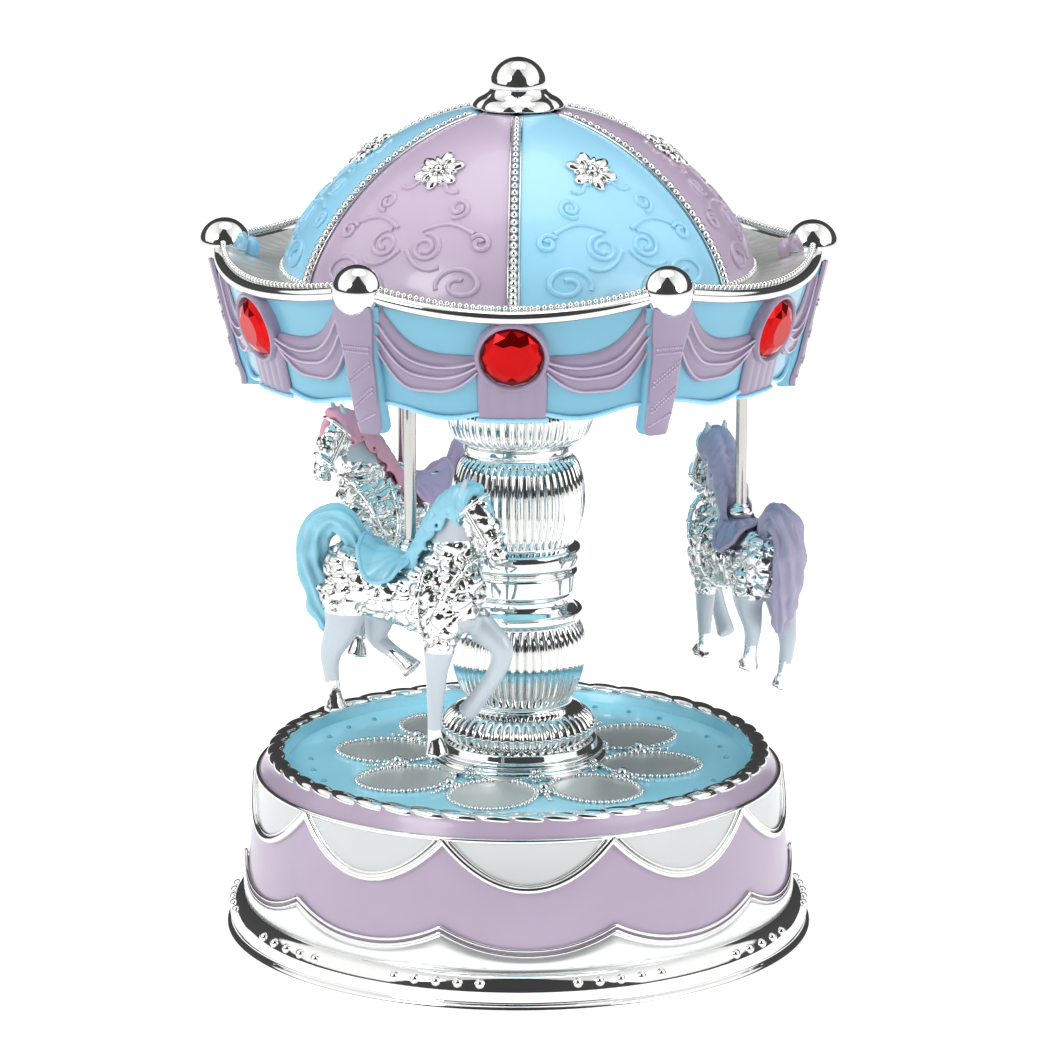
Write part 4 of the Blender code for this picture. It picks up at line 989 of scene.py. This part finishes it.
def blob(limbs, voxel, relax=4):
    """One smooth closed mesh from many overlapping limbs."""
    work = bmesh.new()
    for limb in limbs:
        sweep(work, blended(limb))
    bmesh.ops.recalc_face_normals(work, faces=work.faces)
    obj = linked("blob", finished(work, "blob"))
    remesh = obj.modifiers.new("blend", "REMESH")
    remesh.mode = "VOXEL"
    remesh.voxel_size = voxel * MM
    relaxed = obj.modifiers.new("relax", "SMOOTH")
    relaxed.factor = 0.5
    relaxed.iterations = relax
    return applied(obj)


def cam_rise(azimuth):
    return STROKE / 2 * math.cos(math.radians(azimuth - CAM_HIGH_AZIMUTH))


def horse_frame(number):
    """The matrix from a horse's own frame to the row's, in metres, and its pole's foot."""
    azimuth = POLE_AZIMUTHS[number]
    foot = around(POLE_RING_R, azimuth, SADDLE_Z + cam_rise(azimuth))
    heading = Matrix.Rotation(math.radians(azimuth + HORSE_TURNS[number]), 4, "Z")
    pitch = Matrix.Rotation(math.radians(-HORSE_PITCHES[number]), 4, "Y")
    saddle = foot - Vector((0, 0, HORSE_DROPS[number]))
    return Matrix.Translation(saddle * MM) @ heading @ pitch, saddle


def shortened(stations, share, ahead=0.0):
    """A leg scaled in length from its hip, and stood further forward."""
    hip = stations[0][2]
    return tuple((u + ahead, v, hip + (w - hip) * share, wide, deep) for u, v, w, wide, deep in stations)


def horse_legs(number):
    """A horse's forelegs, the bent one last, and its hind legs."""
    if number == 1:
        return [
            shortened(STRAIGHT_FORELEG, 0.74),
            shortened(other_side(BENT_FORELEG), 0.86),
            shortened(other_side(STRAIGHT_HINDLEG), 0.95),
            shortened(STRAIGHT_HINDLEG, 0.78, 1.7),
        ]
    return [other_side(STRAIGHT_FORELEG), BENT_FORELEG, other_side(STRAIGHT_HINDLEG), REACHING_HINDLEG]


def belly(u):
    """The height at which a horse's plated coat ends."""
    return between(-9.8, -15.0, smooth((u + 9.0) / 12.0))


def relief(point):
    """How far overlapping leaves stand out at a point of a horse's plated body."""
    sway = 0.35 * math.sin(0.45 * point.z)
    place = Vector((point.x * 0.33 + 0.16 * point.z + sway, point.y * 0.33, point.z * 0.38 - 0.08 * point.x))
    distances, sites = noise.voronoi(place)
    edge = smooth((distances[1] - distances[0]) / 0.3)
    lean = (place - sites[0]).dot(noise.cell_vector(sites[0]) * 2 - Vector((1, 1, 1)))
    vein = abs(math.sin(7.0 * (place - sites[0]).dot(Vector((0.6, 0.2, -0.8)))))
    return 0.62 * edge + 0.8 * lean - 0.1 * vein - 0.3


def plated(point, head, knee):
    """Whether this point of a horse is plated, rather than pearl white."""
    if point.z < belly(point.x) or (point.x > knee[0] and point.z < knee[1]):
        return False
    if any((point - Vector(s[:3])).length < 0.7 * (s[3] + s[4]) for s in head):
        return True
    return point.z < 4.4 + 0.1 * point.x


def wisps(u, w, side, lean, length):
    """One lock of a mane, from the crest down one side of the neck."""
    return (
        (u + 0.9, 0.3 * side, w + 0.3, 0.9, 1.0),
        (u - 0.1, 1.3 * side, w + 0.5, 0.85, 1.0),
        (u - 0.7, 2.2 * side, w - 0.9, 0.75, 0.95),
        (u - 0.3 + lean, 2.7 * side, w - 0.45 * length, 0.65, 0.85),
        (u - 1.2 - lean, 2.9 * side, w - 0.75 * length, 0.5, 0.65),
        (u - 0.9 + lean, 3.0 * side, w - length, 0.25, 0.3),
    )


def wavy(stations, folds, depth):
    """A strand of hair along stations, gathered in folds that wind round it and swell along it."""
    centres = blended(stations, 6)
    rows = []
    for k, (u, v, w, wide, deep) in enumerate(centres):
        before, after = centres[max(0, k - 1)], centres[min(len(centres) - 1, k + 1)]
        ahead = Vector((after[0] - before[0], 0, after[2] - before[2])).normalized()
        out = Vector((-ahead.z, 0, ahead.x))
        row = []
        for a in map(math.radians, turns(60)):
            swell = 1 + depth * math.sin(a * folds + 0.42 * k) + 0.07 * math.sin(0.9 * k)
            swell += 0.5 * depth * math.sin(2 * a - 0.7 * k)
            row.append(Vector((u, v + wide * swell * math.cos(a), w)) + out * deep * swell * math.sin(a))
        rows.append(row)
    return web(rows)


def build_horse(number):
    body = HORSES[number]
    matrix, foot = horse_frame(number)
    reach = HORSE_REACHES[number]
    legs = horse_legs(number)
    head, neck, ear = reached(HEAD, reach), reached(NECK, reach), reached(EAR, reach)
    mesh = blob([BODY, neck, head, ear, other_side(ear)] + legs, 0.42, 3)
    bent = legs[1]
    knee = (bent[1][0] - 1.4, bent[0][2] - 1.0)
    hooves = [(Vector(s[:3]), 1.5 * s[4] + 0.9) for leg in legs if leg is not bent for s in leg[-2:]]
    for vertex in mesh.vertices:
        point = vertex.co / MM
        if plated(point, head, knee):
            face = smooth((point.z - 2.0) / 4.0)
            inside = smooth((point.z - belly(point.x)) / 1.6)
            vertex.co += vertex.normal * relief(point) * between(0.95, 0.4, face) * inside * MM
    for face in mesh.polygons:
        point = face.center / MM
        shod = any((point - centre).length < size for centre, size in hooves)
        face.material_index = 0 if shod or plated(point, head, knee) else 1
    mesh.transform(matrix)
    add(f"{body}_body", mesh, body, (CHROME_RELIEF, PEARL), (f"horse_{number + 1}",), crease=180)

    locks = []
    for i, share in enumerate(shares(12)):
        t = share * (len(CREST) - 1)
        k = min(int(t), len(CREST) - 2)
        u, w = (between(CREST[k][n], CREST[k + 1][n], t - k) for n in (0, 1))
        lean = 0.5 if i % 2 else -0.4
        for side in (-1, 1):
            locks.append(reached(wisps(u, w, side, lean, 4.2 + 0.9 * (i % 3)), reach))
    mane = blob(locks + [reached(FORELOCK, reach)], 0.26, 0)
    for vertex in mane.vertices:
        flat = (vertex.co / MM).xy
        if flat.length < POLE_CLEARANCE and vertex.co.z > 1.2 * MM:
            flat = flat.normalized() * POLE_CLEARANCE
            vertex.co.x, vertex.co.y = flat.x * MM, flat.y * MM
    mane.transform(matrix)
    add(f"{body}_mane", mane, body, MANES[number], crease=180)

    tail = wavy(TAIL, 7, 0.17)
    tail.transform(matrix)
    add(f"{body}_tail", tail, body, TAILS[number], crease=180)

    build_saddle(number, matrix, body)
    build_harness(matrix, body, head)
    build_pole(number, foot, body)


def build_saddle(number, matrix, body):
    """A round shell of a saddle with ribs that fan out to its rim."""
    rows = []
    for side in spread(56):
        row = []
        for t in spread(48):
            half = SADDLE_HALF * math.sqrt(max(0.0, 1 - 0.98 * side * side))
            u = SADDLE_MIDDLE + half * t
            fan = math.atan2(side * 6.5, u - 1.0)
            rib = abs(math.cos(9 * fan)) * smooth((math.hypot(side * 6.5, u - 1.0) - 2.0) / 3.0)
            angle = math.radians(SADDLE_WRAP * side)
            rise = 1.9 * smooth((-t - 0.35) / 0.65) * (1 - side * side)
            lift = 0.5 * rib
            row.append((u, (6.8 + lift) * math.sin(angle), -6.2 + (8.2 + lift) * math.cos(angle) + rise))
        rows.append(row)
    mesh = web(rows, ring=False)
    rim = [row[0] for row in rows] + [row[-1] for row in rows[::-1]]
    mesh = merged([mesh, tubes([rim], 0.42, 5, cyclic=True)])
    mesh.transform(matrix)
    thick(add(f"{body}_saddle", mesh, body, TAILS[number]), 0.5)


def girth(u, slant, wide, tall, centre):
    """A loop round the body, leaning forward by slant as it rises."""
    ring = ring_of(1.0, 48)
    return [(u + slant * tall * w, wide * v, centre + tall * w) for w, v in ring + ring[:1]]


def build_harness(matrix, body, head):
    straps = [girth(4.6, 0.05, 6.3, 7.4, -5.8), girth(9.6, 0.55, 5.7, 7.0, -4.6)]
    balls = [(Vector(p), 0.7) for strap in straps for p in strap[::3]]
    nose, cheek = Vector(head[3][:3]), Vector(head[1][:3])
    bridle = []
    for centre, size in ((nose, 2.5), (cheek, 3.3)):
        ring = ring_of(size, 24)
        bridle.append([centre + Vector((0.8 * y, 0.95 * x, 0.75 * y)) for x, y in ring + ring[:1]])
    for side in (-1, 1):
        bridle.append([nose + Vector((0, 2.3 * side, 0)), cheek + Vector((0, 2.9 * side, 0))])
        balls.append((nose + Vector((0, 2.4 * side, 0)), 0.7))
        balls.append((cheek + Vector((1.2, 2.4 * side, 0.6)), 0.6))
    mesh = merged([tubes(straps, 0.5), tubes(bridle, 0.4), beads(balls)])
    mesh.transform(matrix)
    add(f"{body}_harness", mesh, body, CHROME)


def build_pole(number, foot, body):
    low, high = node_box(f"pole_{number + 1}")
    mesh = lathe([(0.0, high.z), (1.1, high.z, 0.25), (1.1, low.z, 0.25), (0.0, low.z)], 32, closed=False)
    mesh.transform(Matrix.Translation((foot.x * MM, foot.y * MM, 0)))
    add(f"{body}_pole", mesh, body, STEEL, (f"pole_{number + 1}",))
    low, high = node_box(f"pole_collar_{number + 1}")
    flat = Matrix.Diagonal((1.0, 1.0, 0.62, 1.0))
    rings = [(Vector((foot.x, foot.y, low.z + rise)), size, flat) for rise, size in ((0.9, 2.3), (2.0, 1.5))]
    mesh = beads(rings, 4)
    add(f"{body}_collar", mesh, body, CHROME, (f"pole_collar_{number + 1}",))


# --- stage

SKY_LEVEL = 0.72
SIDE_LEVEL = 0.5
FLOOR_GLOW = 0.46


def build_world():
    """White all round with a dark strip above the floor and a dark gap in front between two soft boxes."""
    world = bpy.data.worlds.new("studio")
    bpy.context.scene.world = world
    world.use_nodes = True
    nodes, links = world.node_tree.nodes, world.node_tree.links

    def compute(operation, first, second=0.0, third=0.0):
        made = nodes.new("ShaderNodeMath")
        made.operation = operation
        for socket, value in zip(made.inputs, (first, second, third)):
            if isinstance(value, (int, float)):
                socket.default_value = value
            else:
                links.new(value, socket)
        return made.outputs[0]

    def step(value, edge, soft):
        made = preset(nodes.new("ShaderNodeMapRange"), From_Min=edge - soft, From_Max=edge + soft)
        made.interpolation_type = "SMOOTHSTEP"
        links.new(value, made.inputs["Value"])
        return made.outputs["Result"]

    place = nodes.new("ShaderNodeTexCoord")
    parts = nodes.new("ShaderNodeSeparateXYZ")
    links.new(place.outputs["Generated"], parts.inputs["Vector"])
    height = parts.outputs["Z"]
    square = compute("MULTIPLY_ADD", height, compute("MULTIPLY", height, -1.0), 1.0)
    level = compute("SQRT", compute("MAXIMUM", square, 0.001))
    front = compute("DIVIDE", compute("MULTIPLY", parts.outputs["Y"], -1.0), level)
    gap = step(compute("SUBTRACT", front, compute("MULTIPLY_ADD", height, 0.36, 0.6)), 0.0, 0.015)
    behind = compute("MAXIMUM", compute("MULTIPLY", front, -1.0), 0.0)
    ceiling = compute("SUBTRACT", height, compute("MULTIPLY", behind, 0.72))
    strip = compute("SUBTRACT", 1.0, step(ceiling, 0.12, 0.03))
    dark = compute("MULTIPLY", compute("MAXIMUM", gap, strip), 0.96)
    side = step(compute("ABSOLUTE", parts.outputs["X"]), 0.42, 0.3)
    bright = compute("MULTIPLY_ADD", side, SIDE_LEVEL, SKY_LEVEL)
    light = compute("MULTIPLY", compute("SUBTRACT", 1.0, dark), bright)
    nodes["Background"].inputs["Color"].default_value = (1.0, 1.0, 1.0, 1.0)
    links.new(compute("ADD", light, 0.03), nodes["Background"].inputs["Strength"])


def build_stage():
    scene = bpy.context.scene
    scene.view_settings.view_transform = "Standard"
    bpy.ops.mesh.primitive_plane_add(size=80.0)
    floor = bpy.context.object
    floor.name = "floor"
    paper = material("floor_paper", (0.93, 0.93, 0.93), 0.7, mottle=0.005)
    shader = paper.node_tree.nodes["Principled BSDF"]
    preset(shader, Emission_Color=(1.0, 1.0, 1.0, 1.0), Emission_Strength=FLOOR_GLOW)
    floor.data.materials.append(paper)
    build_world()

    for name, place, size, power in (
        ("key_light", (-0.7, -0.7, 0.75), 0.5, 4.0),
        ("fill_light", (0.8, -0.55, 0.5), 0.6, 2.2),
        ("top_light", (0.0, 0.1, 1.2), 0.8, 3.2),
    ):
        light = bpy.data.lights.new(name, "AREA")
        light.shape = "DISK"
        light.size = size
        light.energy = power
        obj = linked(name, light)
        obj.location = place
        aim = Vector((0, 0, 0.09)) - obj.location
        obj.rotation_euler = aim.to_track_quat("-Z", "Y").to_euler()

    camera = bpy.data.cameras.new("camera")
    camera.lens = 173.4
    camera.sensor_width = 36.0
    obj = linked("camera", camera)
    distance, rise, turn = 952.3, math.radians(13.02), 1.2
    obj.location = around(distance * math.cos(rise), turn, 85.0 + distance * math.sin(rise)) * MM
    target = Vector((0, 0, 78.15)) + around(1.25, turn + 90.0, 0.0)
    look = (target * MM - obj.location).to_track_quat("-Z", "Y")
    obj.matrix_world = Matrix.Translation(obj.location) @ look.to_matrix().to_4x4()
    scene.camera = obj


# --- assembly

finish_cad_nodes()
build_foot()
build_drum()
build_crown()
build_deck()
build_column()
build_eave()
build_dome()
build_finial()
build_corner_balls()
build_valance()
build_bosses()
build_stones()
build_drops()
for horse_number in range(len(HORSES)):
    build_horse(horse_number)
build_stage()
